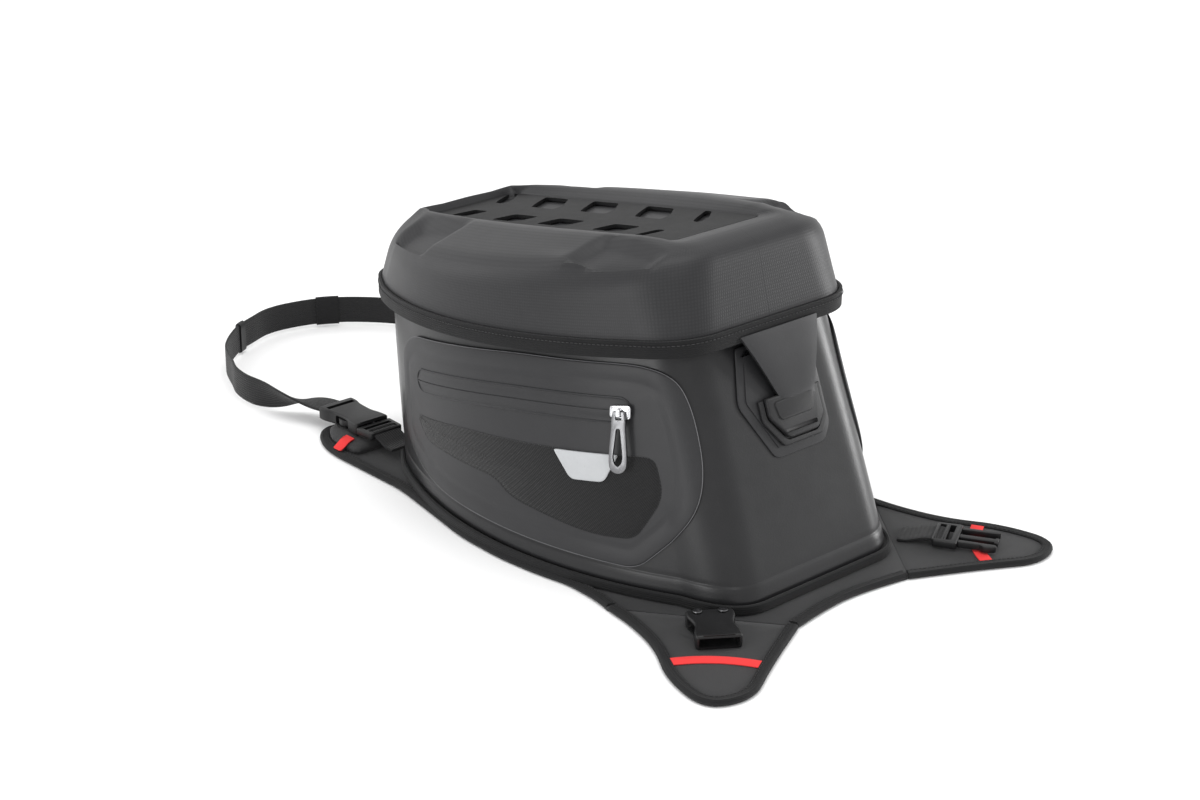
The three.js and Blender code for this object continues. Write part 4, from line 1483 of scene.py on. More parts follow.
@dataclass
class SliderAndPull:
    """The zip's slider and its long-holed puller."""

    def local(self) -> Matrix:
        """The slider's own frame: along the zip, up across it, and out.

        Returns:
            The frame.
        """
        across = Vector((0.895, 0.4403, 0.0712)).normalized()
        up = Vector((-0.1596, 0.1671, 0.9729)).normalized()
        out = Vector((0.4165, -0.8822, 0.2199)).normalized()
        seat = Vector((0.094, -0.1044661, 0.135))
        return Matrix.Translation(seat) @ Matrix((across, up, out)).transposed().to_4x4()

    def slider(self) -> Piece:
        """The slider: a waisted body with a bridge over it.

        Returns:
            The slider.
        """
        body = plate("slider_body", rounded([(-8, -4, 2), (-2, -4.6, 3), (7.5, -5.2, 3), (7.5, 5.2, 3),
                                             (-2, 4.6, 3), (-8, 4, 2)]), 0.2, 2.8, 0.0006,
                     3)
        bridge = block("slider_bridge", (-1.7, -3.0, 2.6), (1.7, 3.0, 8.6), 0.0011, 3)
        arch = block("slider_arch", (-4, -1.9, 3.2), (4, 1.9, 7.5), 0.0009, 3)
        rail = block("slider_rail", (-7, -3.4, 2.4), (6.6, 3.4, 3.3), 0.0006, 3)
        return merge("zip_slider_body_left", carve(bridge, arch), body, rail)

    def pull(self) -> Piece:
        """The puller: a tapered tongue with a long drop-shaped hole.

        Returns:
            The puller.
        """
        edge = [(-4.2, 1.1, 1), (-5.4, -6, 4), (-5.2, -10, 6), (-7, -33, 9), (-6.2, -41, 6), (0, -44, 7),
                (6.2, -41, 6), (7, -33, 9), (5.2, -10, 6), (5.4, -6, 4), (4.2, 1.1, 1)]
        tongue = plate("pull_tongue", rounded(edge, 5), -1.1, 1.1, 0.0005, 3)
        hole = plate("pull_hole", rounded([(-1.5, -11, 1.4), (-4.2, -34, 5), (0, -39.5, 4), (4.2, -34, 5),
                                           (1.5, -11, 1.4)]), -3, 3, 0)
        eye = plate("pull_eye", rounded([(-2.3, -5.2, 1), (-2.3, -1.1, 0.6), (2.3, -1.1, 0.6),
                                         (2.3, -5.2, 1)]), -3, 3, 0)
        lean = Matrix.Translation((0, 0, 5.6 * MM)) @ Matrix.Rotation(0.03, 4, "X")
        return moved(named(carve(tongue, hole, eye), "zip_pull_tongue_left"), lean)

    def build(self) -> None:
        """Makes both sides' sliders and pullers."""
        seat = self.local()
        for obj, finish, node in ((self.slider(), BRIGHT, "zip_slider_"), (self.pull(), NICKEL, "zip_pull_")):
            moved(obj, seat)
            twin = moved(copied(obj, obj.name.replace("left", "right")), MIRROR)
            for piece, side in ((obj, "left"), (twin, "right")):
                dress(smooth(bake(piece), 30), finish, f"{node}{side}_body", node + side)


# ---- lid


@dataclass
class Lid:
    """The moulded lid with its raised rims, its slotted panel and the tape round its edge."""

    around: int = 300
    wall: float = 3.0
    panel_drop: float = 4.0
    sheet: float = 2.8
    steps: tuple[int, ...] = (8, 10, 12, 10, 8, 6, 5)
    panel: Rectangle = Rectangle(80, -200, 46, 9)
    recess: Rectangle = Rectangle(78, -198, 44, 8)

    @staticmethod
    def panel_z(x: float) -> float:
        """Height of the panel's top."""
        return 229.4 + 0.174 * x

    @staticmethod
    def shoulder_z(x: float) -> float:
        """Height of the wall's top edge."""
        return 222 + 0.18 * x

    @staticmethod
    def crest_z(x: float) -> float:
        """Height of the raised rims beside the panel.

        Args:
            x: The place along the bag, in millimetres.

        Returns:
            The height, in millimetres.
        """
        if x > 60:
            return 246.5 + 0.05 * (x - 60)
        return 237.0 + 0.158 * x if x > 0 else 237.0 + 0.176 * x

    def controls(self, u: float) -> list[tuple[Vector, float]]:
        """The corners of the lid's section at share u round it, each with how far it is rounded.

        Args:
            u: The share of the way round.

        Returns:
            The corners, from the rim to the middle.
        """
        rim, low = LID_RIM.point(u), LID_RIM.point(u, -0.6)
        shoulder, crest = LID_SHOULDER.point(u), LID_CREST.point(u)
        edge, floor = self.panel.point(u), self.recess.point(u)
        inner = (floor[0] * 0.6 - 24, floor[1] * 0.3)
        floor_z = self.panel_z(floor[0]) - self.panel_drop
        return [(Vector((*rim, rim_z(rim[0]) + 0.4)), 0.0), (Vector((*low, rim_z(rim[0]) + 13)), 0.2),
                (Vector((*shoulder, self.shoulder_z(shoulder[0]))), 0.45),
                (Vector((*crest, self.crest_z(crest[0]))), 0.45),
                (Vector((*edge, self.panel_z(edge[0]) + 0.4)), 0.3), (Vector((*floor, floor_z)), 0.2),
                (Vector((*inner, self.panel_z(inner[0]) - self.panel_drop)), 0.0)]

    def dent(self, p: Vector) -> float:
        """Hollows and swellings in the facets beside the panel, in millimetres of height.

        Args:
            p: The point on the facet, in millimetres.

        Returns:
            The change of height.
        """
        y = abs(p.y)
        front = ease((-112 - p.x) / 12) * ease((p.x + 184) / 18) * ease((y - 60) / 16) * ease((132 - y) / 10)
        rear = ease((p.x - 30) / 12) * ease((102 - p.x) / 14) * ease((y - 64) / 10) * ease((108 - y) / 9)
        swell = math.exp(-((p.x - 62) / 36) ** 2 - ((y - 108) / 10) ** 2)
        return -8.0 * front - 6.0 * rear + 5.0 * swell

    def point(self, u: float, v: float) -> Vector:
        """A point on the lid's outside, in metres.

        Args:
            u: The share of the way round.
            v: The share of the way in from the rim.

        Returns:
            The point.
        """
        corners = self.controls(u)
        total = sum(self.steps[:len(corners) - 1])
        k, i = round(v * total), 0
        while k > self.steps[i]:
            k -= self.steps[i]
            i += 1
        t = k / self.steps[i]
        a, b = corners[i][0], corners[i + 1][0]
        p = a.lerp(b, t)
        span = (b - a).length
        for near, other, share in ((i, i - 1, t), (i + 1, i + 2, 1 - t)):
            if not 0 < near < len(corners) - 1:
                continue
            reach = min(corners[near][1], 0.5)
            if share < reach:
                corner, away = corners[near][0], corners[other][0]
                mine = (b if near == i else a) - corner
                theirs = away - corner
                radius = min(span, theirs.length) * reach
                here = share * span
                if here < radius:
                    q = 0.5 - 0.5 * here / radius
                    start = corner + mine.normalized() * radius
                    end = corner + theirs.normalized() * radius
                    p = Vector(bezier([tuple(start), tuple(corner), tuple(end)], q))
        if 2 <= i <= 3:
            p = p + Vector((0, 0, self.dent(p)))
        return p * MM

    def build(self) -> None:
        """Makes the lid, its tape, its stitches and its panel."""
        total = sum(self.steps[:6])
        shell = drape("lid_moulding", self.around, total, self.point, closed=True)
        hold(shell)
        in_edit(shell, lambda: bpy.ops.mesh.normals_make_consistent(inside=False))
        if sum(p.normal.z * p.area for p in shell.data.polygons) < 0:
            in_edit(shell, lambda: bpy.ops.mesh.flip_normals())
        self.close_middle(shell)
        thicken(shell, self.wall * MM)
        dress(smooth(shell, 60), LID_CLOTH, "lid", "lid_shell")
        self.tape()
        self.slotted_panel()

    @staticmethod
    def close_middle(shell: Piece) -> None:
        """Fills the small hole in the middle of the lid's recess.

        Args:
            shell: The lid's skin.
        """
        bm = bmesh.new()
        bm.from_mesh(shell.data)
        rim = [e for e in bm.edges if e.is_boundary and e.verts[0].co.z > 0.18]
        bmesh.ops.holes_fill(bm, edges=rim)
        bm.to_mesh(shell.data)
        bm.free()

    def tape(self) -> None:
        """The folded tape sewn round the lid's edge, and its stitches."""
        count = 320
        path, sides = [], []
        for k in range(count):
            u = k / count
            x, y = LID_RIM.point(u, 1.5)
            path.append(Vector((x, y, rim_z(x) + 6.9)) * MM)
            sides.append(Vector((0, 0, 1)))
        section = [(a * MM, b * MM) for a, b in
                   ((-6.4, 0.9), (-5.6, 1.5), (-3, 1.75), (0, 1.6), (3, 1.75), (5.4, 1.4), (6.2, 0.6),
                    (6.2, -1.2), (-6.4, -1.2))]
        tape = band("lid_edge_binding", path, sides, section, closed=True)
        dress(tape, TAPE, "lid", "lid_edge_tape")
        seam = Stitches(3.4, 2.3, 0.42)
        line = []
        for k in range(count):
            x, y = LID_RIM.point(k / count, 3.1)
            line.append(Vector((x, y, rim_z(x) + 9.6)) * MM)
        dress(seam.sew("lid_tape_stitches", line, closed=True), THREAD, "lid")

    def slotted_panel(self) -> None:
        """The panel sheet with two rows of lashing slots."""
        outline = [self.panel.point(k / 160, -0.8) for k in range(160)]
        sheet = plate("lid_panel_sheet", outline, 0.0, self.sheet, 0)
        cutters = [self.slot(x, y, share) for x, y, share in
                   ((-186, 27, 0.35), (-131, 25, 1), (-74, 26, 1.05), (-13, 26, 1.05), (36, 28, 0.25),
                    (-168, -26, 0.6), (-112, -27, 1), (-60, -26, 1.05), (1, -26, 1), (40, -29, 0.3))]
        sheet = carve(sheet, *cutters)
        in_edit(sheet, lambda: bpy.ops.mesh.quads_convert_to_tris())
        hold(sheet)
        for x in range(-190, 80, 10):
            in_edit(sheet, lambda x=x: bpy.ops.mesh.bisect(plane_co=(x * MM, 0, 0), plane_no=(1, 0, 0)))
        for vertex in sheet.data.vertices:
            vertex.co.z += (self.panel_z(vertex.co.x / MM) - self.sheet) * MM
        m = sheet.modifiers.new("edges", "BEVEL")
        m.width, m.segments, m.limit_method, m.angle_limit = 0.0005, 2, "ANGLE", math.radians(50)
        dress(smooth(bake(sheet), 40), PANEL_RUBBER, "lid", "lid_panel")

    @staticmethod
    def slot(x: float, y: float, share: float) -> Piece:
        """A cutter for one slot: a slanted opening that leans forward away from the middle.

        Args:
            x: The slot's middle along the bag, in millimetres.
            y: Its middle across the bag.
            share: Its length against a whole slot.

        Returns:
            The cutter.
        """
        side = 1 if y > 0 else -1
        half, reach, lean = 13.5 * share, 13.5 + 3.0 * side, 6.0 + 4.0 * side
        shape = [(x - half + lean, y - reach * side, 3), (x + half + lean, y - reach * side, 3),
                 (x + half + lean * 0.6, y - reach * 0.2 * side, 6), (x + half - lean, y + reach * side, 3),
                 (x - half - lean, y + reach * side, 3), (x - half + lean * 0.2, y - reach * 0.3 * side, 6)]
        if side < 0:
            shape = shape[::-1]
        return plate("slot_cutter", rounded(shape, 3), -5, 8, 0)


@dataclass
class Stitches:
    """A row of short thread runs lying on a line."""

    pitch: float = 3.2
    run: float = 2.2
    thread: float = 0.4

    def sew(self, name: str, line: Sequence[Vector], closed: bool = False) -> Piece:
        """Lays the stitches.

        Args:
            name: The piece's name.
            line: The seam, in metres.
            closed: The seam meets itself.

        Returns:
            All the stitches as one mesh object.
        """
        length = sum((b - a).length for a, b in zip(line, line[1:])) / MM
        count = max(2, int(length / self.pitch))
        points = resample(line, count, closed)
        deselect()
        bpy.ops.mesh.primitive_cylinder_add(vertices=6, radius=self.thread * MM, depth=self.run * MM,
                                            rotation=(0, math.pi / 2, 0))
        bpy.ops.object.transform_apply(location=True, rotation=True, scale=True)
        seed = bpy.context.object
        in_edit(seed, lambda: bpy.ops.mesh.bevel(offset=self.thread * MM * 0.6, segments=1, affect="EDGES"))
        base = [(v.co.copy()) for v in seed.data.vertices]
        faces = [tuple(p.vertices) for p in seed.data.polygons]
        verts, polys = [], []
        for i, p in enumerate(points):
            a = points[i - 1] if closed or i else p
            b = points[(i + 1) % len(points)] if closed or i < len(points) - 1 else p
            x = (b - a).normalized()
            z = Vector((0, 0, 1)) if abs(x.z) < 0.9 else Vector((1, 0, 0))
            y = z.cross(x).normalized()
            turn = Matrix((x, y, x.cross(y))).transposed()
            start = len(verts)
            verts += [p + turn @ q for q in base]
            polys += [tuple(k + start for k in face) for face in faces]
        mesh = bpy.data.meshes.new(name)
        mesh.from_pydata(verts, [], polys)
        bpy.data.objects.remove(seed)
        obj = bpy.data.objects.new(name, mesh)
        bpy.context.scene.collection.objects.link(obj)
        return smooth(obj, 60)


# ---- rear closure


@dataclass
class RearClosure:
    """The welded catch on the rear wall and the pull tongue that hangs from the lid."""

    tab_y: float = 8.0
    tab_half: float = 26.0

    @staticmethod
    def wall() -> Matrix:
        """The rear wall's frame: across, up the wall, and out of it.

        Returns:
            The frame, in metres.
        """
        top = Vector((TUB_MOUTH.rear_x, 0, rim_z(TUB_MOUTH.rear_x))) * MM
        foot = Vector((TUB_BASE.rear_x, 0, SKIN.floor)) * MM
        up = (top - foot).normalized()
        across = Vector((0, 1, 0))
        return Matrix.Translation(top) @ Matrix((across, up, across.cross(up))).transposed().to_4x4()

    def tab_outline(self, grow: float) -> list[Point2]:
        """The tab's outline on the wall, in millimetres.

        Args:
            grow: How far outside the tab, in millimetres.

        Returns:
            The outline.
        """
        left, right = self.tab_y - self.tab_half - grow, self.tab_y + self.tab_half + grow
        return rounded([(left, -46 + grow * 0.2, 2), (left, -60 - grow * 0.5, 3), (left + 15, -78 - grow, 3),
                        (right - 8, -78 - grow, 3), (right, -69 - grow * 0.5, 3),
                        (right, -46 + grow * 0.2, 2)], 4)

    def build(self) -> None:
        """Makes the catch, its frame, the tongue and the tab."""
        wall = self.wall()
        catch = rounded([(-30, -6, 3), (-40, -46, 6), (-16, -90, 6), (34, -90, 6), (43, -78, 4), (43, -40, 6),
                         (40, -6, 3)], 5)
        base = plate("catch_base", catch, 0.1, 1.6, 0.0006, 3)
        raised = plate("catch_raise", grown(catch, -7), 1.2, 2.4, 0.0009, 3)
        dress(moved(merge("catch_film", base, raised), wall), WELDED, "bag", "catch_plate")
        rim = plate("catch_rim", self.tab_outline(5), 2.2, 5.2, 0.0011, 3)
        hole = plate("rim_hole", self.tab_outline(1.4), 0, 9, 0)
        slit = block("rim_gap", (-60, -47, 0), (80, 0, 10), 0)
        dress(moved(named(carve(rim, hole, slit), "catch_moulded_rim"), wall), TAB_RUBBER, "bag",
              "catch_frame")
        self.tongue(wall)
        self.tab(wall)

    def tongue(self, wall: Matrix) -> None:
        """The folded cloth tongue that leans in from the lid's tape to the tab.

        Args:
            wall: The rear wall's frame.
        """
        rows = 24
        line = [(1.5, 12.9), (-4, 12.9), (-20, 11.6), (-36, 9.2), (-47, 7.4), (-52, 7.2)]
        spine = resample(smooth_line(line), rows + 1, closed=False)

        def place(u: float, v: float) -> Vector:
            """A point on the tongue.

            Args:
                u: The share of the way across.
                v: The share of the way down.

            Returns:
                The point, in metres.
            """
            p = spine[round(v * rows)]
            t = min(1.0, max(0.0, (1.5 - p.x) / 50))
            left = self.tab_y - 41 + 29 * t
            right = self.tab_y + 36 - 13 * t
            y = left + (right - left) * u
            curl = 0.9 * (2 * u - 1) ** 4
            return wall @ (Vector((y, p.x, p.y - curl)) * MM)

        sheet = drape("tongue_sheet", 30, rows, place)
        thicken(sheet, 2.2 * MM, 0.0)
        in_edit(sheet, lambda: bpy.ops.mesh.normals_make_consistent(inside=False))
        dress(named(sheet, "closure_tongue_cloth"), WELDED, "tongue", "closure_tongue")

    def tab(self, wall: Matrix) -> None:
        """The moulded tab with a raised middle and a slot for a finger loop.

        Args:
            wall: The rear wall's frame.
        """
        body = plate("tab_body", self.tab_outline(0), 3.2, 7.6, 0.0013, 3)
        pad = plate("tab_pad", rounded([(-12, -50, 4), (-9, -64, 4), (24, -64, 4), (28, -50, 4)], 5),
                    7.2, 8.4, 0.0006, 3)
        slot = block("tab_slot", (-6, -73.8, 5.6), (26, -70.6, 12), 0.0005)
        dress(moved(merge("closure_moulded_tab", carve(body, slot), pad), wall), TAB_RUBBER, "tongue",
              "closure_tab")


# ---- harness


HALF_HARNESS = ((219, 14, 40), (225.5, 57, 1), (118, 138.6, 1), (98, 135, 14), (70, None, 10), (43, None, 14),
                (5, None, 14), (-41, None, 14), (-96, None, 20), (-140, 124, 14), (-240, 124, 24),
                (-273, 106, 18), (-273, 82, 14), (-250, 62, 14), (-216, 62, 4))
FLAP = ((118.7, 139, 2), (148, 143, 30), (183, 154, 30), (216, 176, 22), (262, 186, 26), (276, 152, 20),
        (251, 108, 26), (226, 57, 2))
FOLD_OUT = (0.6071, 0.7946)


@dataclass
class Harness:
    """The padded sheet under the tub, its front arms and its rear flaps."""

    thick: float = 3.5
    binding_width: float = 8.5
    binding_thick: float = 5.2
    margin: float = 6.0

    def half_outline(self) -> list[tuple[float, float, float]]:
        """The right half of the harness, with its side following the tub."""
        return [(x, y if y is not None else TUB_BASE.side_y(x, self.margin), r) for x, y, r in HALF_HARNESS]

    def sheet(self) -> None:
        """The sheet itself and the foam base that the tub stands on."""
        half = self.half_outline()
        half[1:3] = [(x + 3 * FOLD_OUT[0], y + 3 * FOLD_OUT[1], r) for x, y, r in half[1:3]]
        whole = rounded([*half, *[(x, -y, r) for x, y, r in reversed(half)]], 6)
        line = grown([tuple(p) for p in resample(whole, 420)], -2.0)
        sheet = plate("harness_pad_sheet", line, 0.0, self.thick - 0.2, 0.0008)
        Plan.lay_uv(sheet)
        dress(sheet, PAD_CLOTH, "bag", "harness_sheet")
        foam = plate("base_foam", [TUB_BASE.point(k / 240, 2.6) for k in range(240)], 3.8, 8.9, 0.0016, 3)
        Plan.lay_uv(foam)
        dress(foam, BASE_FOAM, "bag", "base_pad")
        piping = [Vector((*TUB_BASE.point(k / 240, 2.3), 7.4)) * MM for k in range(240)]
        cord = band("base_piping", piping, [Vector((0, 0, 1))] * 240, strap_section(7.6 * MM, 3.2 * MM, 5),
                    closed=True)
        dress(cord, TAPE, "bag")

    def binding(self, name: str, line: Sequence[Point2], closed: bool = False) -> tuple[Piece, Piece]:
        """Tape folded over an edge, with its row of stitches.

        Args:
            name: The tape's name.
            line: The edge, in millimetres.
            closed: The edge meets itself.

        Returns:
            The tape and its stitches.
        """
        count = len(line)
        path = [Vector((x, y, self.binding_thick / 2)) * MM for x, y in line]
        sides = []
        for i in range(count):
            a = Vector(line[i - 1] if closed or i else line[i])
            b = Vector(line[(i + 1) % count] if closed or i < count - 1 else line[i])
            d = (b - a).normalized()
            sides.append(Vector((d.y, -d.x, 0)))
        w, t = self.binding_width, self.binding_thick / 2
        section = [(a * MM, b * MM) for a, b in
                   ((-w, 0.5), (-w + 0.5, t - 0.7), (-w * 0.5, t - 0.35), (-1.8, t - 0.1), (-0.5, t * 0.55),
                    (0, 0), (-0.5, -t * 0.55), (-1.8, -t + 0.02), (-w + 0.5, -t + 0.02), (-w, -0.5))]
        tape = band(name, path, sides, section, closed)
        offset = [(p + s * (-w + 1.9) * MM + Vector((0, 0, (t - 0.35) * MM))) for p, s in zip(path, sides)]
        return tape, Stitches(3.4, 2.3, 0.36).sew(name + "_stitches", offset, closed)

    def edges(self) -> None:
        """The tape along each side of the harness, round the front arm."""
        half = rounded(self.half_outline(), 8)
        line = resample(half, 620, closed=False)
        kept = [tuple(p) for p in line if p.x < 117 and not (p.y < 63.5 and p.x > -244)]
        for side in ("right", "left"):
            for piece, finish, node in zip(self.binding("harness_tape_" + side, kept), (TAPE, THREAD),
                                           (["harness_binding_" + side], [])):
                if side == "left":
                    moved(piece, MIRROR)
                dress(piece, finish, "bag", *node)
        back = rounded([(225.5, -57, 0), (219, -14, 40), (219, 14, 40), (225.5, 57, 0)], 8)
        tape, seam = self.binding("harness_tape_rear", [tuple(p) for p in resample(back, 70, closed=False)])
        dress(tape, TAPE, "bag", "harness_binding_rear")
        dress(seam, THREAD, "bag")

    def build(self) -> None:
        """Makes the sheet, its edges, the arms and the flaps."""
        self.sheet()
        self.edges()
        for side in ("left", "right"):
            self.arm(side)
            self.flap(side)

    def arm(self, side: str) -> None:
        """One front arm's pad, red tab and sewn webbing.

        Args:
            side: Left or right.
        """
        corners = [(-208, 70, 3), (-208, 113, 6), (-240, 114.5, 16), (-266, 101, 14), (-266, 84, 12),
                   (-250, 70, 8)]
        pad = Plan.puffed("arm_pad_right", rounded(corners, 5), 3.7, 10.2, 2.2)
        red = plate("arm_red_tab_right", rounded([(-224, 104, 1), (-221, 121, 2), (-231, 121, 2),
                                                  (-235, 104, 1)], 3), 0.0, 0.9, 0.0002)
        drop_to(red, lambda x, y: 10.5 - 4.6 * ease((y - 108) / 12))
        Plan.lay_uv(red)
        flip = MIRROR if side == "left" else Matrix.Identity(4)
        for obj, finish, node in ((pad, PAD_CLOTH, "arm_pad_"), (red, RED, "arm_accent_")):
            moved(obj, flip)
            name = ("arm_pad_cover_" if obj is pad else "arm_red_tab_") + side
            dress(named(obj, name), finish, "bag", node + side)
        y = 84.5 if side == "right" else -84.5
        path = smooth_line([(x * MM, y * MM, z * MM) for x, z in
                            ((-219, 17.4), (-212, 17.8), (-206, 16.8), (-200, 14.4), (-193, 12.0),
                             (-184, 11.6))], 8)
        strap = band("anchor_strap_" + side, path, [Vector((0, 1, 0))] * len(path),
                     strap_section(25 * MM, 2.0 * MM, 6))
        dress(strap, WEBBING, "bag", "anchor_webbing_" + side)

    def flap(self, side: str) -> None:
        """One rear flap: its cloth, its tape and its red band.

        Args:
            side: Left or right.
        """
        body = f"flap_{side}_body"
        flip = MIRROR if side == "left" else Matrix.Identity(4)
        outline = rounded(FLAP, 7)

        def out(p: Sequence[float]) -> float:
            """How far a point lies outside the fold."""
            return FOLD_OUT[0] * (p[0] - 226) + FOLD_OUT[1] * (p[1] - 57)

        inset = grown([tuple(p) for p in resample(outline, 260)], -3.0)
        inset = [(x - (out((x, y)) - 0.1) * FOLD_OUT[0], y - (out((x, y)) - 0.1) * FOLD_OUT[1])
                 if out((x, y)) < 4.5 else (x, y) for x, y in inset]
        cloth = Plan.puffed("flap_cloth_" + side, inset, 0.15, 3.9, 0.7, simulate=False)
        edge = [p for p in resample(outline, 420) if out(p) > 0.5]
        start = max(range(len(edge)), key=lambda i: (edge[i] - edge[i - 1]).length)
        edge = [tuple(p) for p in reversed(edge[start:] + edge[:start])]
        tape, seam = self.binding("flap_tape_" + side, edge)
        red = self.red_band("flap_red_band_" + side)
        for obj, finish, nodes in ((cloth, PAD_CLOTH, [f"flap_{side}"]),
                                   (tape, TAPE, [f"flap_binding_{side}"]),
                                   (seam, THREAD, []), (red, RED, [f"flap_accent_{side}"])):
            dress(moved(obj, flip), finish, body, *nodes)

    @staticmethod
    def red_band(name: str) -> Piece:
        """The bowed red band across a flap.

        Args:
            name: The piece's name.

        Returns:
            The band, on the left flap.
        """
        reach, half, spread = 100.0, 4.8, 0.30
        arc = [spread * (k / 12 - 1) for k in range(25)]
        ring = [(reach - (reach + side * half) * math.cos(a), (reach + side * half) * math.sin(a) * side)
                for side in (1, -1) for a in arc]
        obj = plate(name, ring, 3.9, 4.7, 0.0002)
        Plan.lay_uv(obj)
        place = Matrix.Translation((181.5 * MM, 91 * MM, 0)) @ Matrix.Rotation(math.radians(45), 4, "Z") \
            @ Matrix.Translation((62 * MM, 2 * MM, 0))
        return moved(obj, place)


def drop_to(obj: Piece, height: Callable[[float, float], float]) -> None:
    """Lowers a flat piece onto a height given in millimetres over the plan.

    Args:
        obj: The piece.
        height: The height over a place in plan.
    """
    in_edit(obj, lambda: bpy.ops.mesh.subdivide(number_cuts=3))
    for vertex in obj.data.vertices:
        vertex.co.z += height(vertex.co.x / MM, abs(vertex.co.y) / MM) * MM


class Plan:
    """Flat and puffed pieces drawn in plan."""

    @staticmethod
    def lay_uv(obj: Piece) -> None:
        """Lays the UV map out in metres in plan.

        Args:
            obj: The piece.
        """
        layer = obj.data.uv_layers.active or obj.data.uv_layers.new(name="UVMap")
        for loop in obj.data.loops:
            co = obj.data.vertices[loop.vertex_index].co
            layer.data[loop.index].uv = (co.x, co.y)

    @staticmethod
    def puffed(name: str, outline: Sequence[Point2], low: float, high: float, crown: float,
               simulate: bool = True) -> Piece:
        """A padded piece, flat below and crowned above, filled by a cloth simulation.

        Args:
            name: The piece's name.
            outline: Its edge in plan, in millimetres.
            low: Its underside, in millimetres.
            high: Its highest point, in millimetres.
            crown: How much lower its edge is than its middle.

        Returns:
            The mesh object.
        """
        count = 96
        line = [tuple(p) for p in resample(outline, count)]
        cx = sum(p[0] for p in line) / count
        cy = sum(p[1] for p in line) / count
        rings = ((0.98, low), (0.02, low)), ((1.0, low + (high - low) * 0.35), (0.985, high - crown - 0.4),
                                             (0.95, high - crown), (0.8, high - crown * 0.45),
                                             (0.55, high - crown * 0.15), (0.3, high), (0.02, high))
        rows = [*reversed(rings[0]), *rings[1]]

        def place(u: float, v: float) -> Vector:
            """A point on the cushion's skin."""
            share, z = rows[round(v * (len(rows) - 1))]
            x, y = line[round(u * count) % count]
            return Vector((cx + (x - cx) * share, cy + (y - cy) * share, z)) * MM

        obj = drape(name, count, len(rows) - 1, place, closed=True)
        in_edit(obj, lambda: bpy.ops.mesh.fill_holes(sides=0),
                lambda: bpy.ops.mesh.select_all(action="SELECT"),
                lambda: bpy.ops.mesh.normals_make_consistent(inside=False))
        if simulate:
            obj = Plan.inflate(obj)
        Plan.lay_uv(obj)
        return smooth(obj, 60)

    @staticmethod
    def inflate(obj: Piece, voxel: float = 2.5 * MM, pressure: float = 3.0, most: float = 1.2 * MM
                ) -> Piece:
        """Fills a closed piece like a cushion and keeps each point within reach of where it began.

        Args:
            obj: The closed piece.
            voxel: The size of the remeshed faces, in metres.
            pressure: The pressure inside.
            most: How far a point may move, in metres.

        Returns:
            The filled piece.
        """
        m = obj.modifiers.new("even", "REMESH")
        m.mode, m.voxel_size = "VOXEL", voxel
        bake(obj)
        start = [v.co.copy() for v in obj.data.vertices]
        floor = min(p.z for p in start)
        cloth = obj.modifiers.new("cloth", "CLOTH")
        cloth.settings.use_pressure = True
        cloth.settings.uniform_pressure_force = pressure
        cloth.settings.effector_weights.gravity = 0.0
        cloth.settings.mass = 0.3
        cloth.point_cache.frame_start, cloth.point_cache.frame_end = 1, SETTLE_FRAMES
        for number in range(1, SETTLE_FRAMES + 1):
            bpy.context.scene.frame_set(number)
        bake(obj)
        bpy.context.scene.frame_set(1)
        for vertex, was in zip(obj.data.vertices, start):
            step = vertex.co - was
            if step.length > most:
                vertex.co = was + step.normalized() * most
            vertex.co.z = max(vertex.co.z, floor)
        if not obj.data.uv_layers:
            obj.data.uv_layers.new(name="UVMap")
        return obj


# ---- buckles


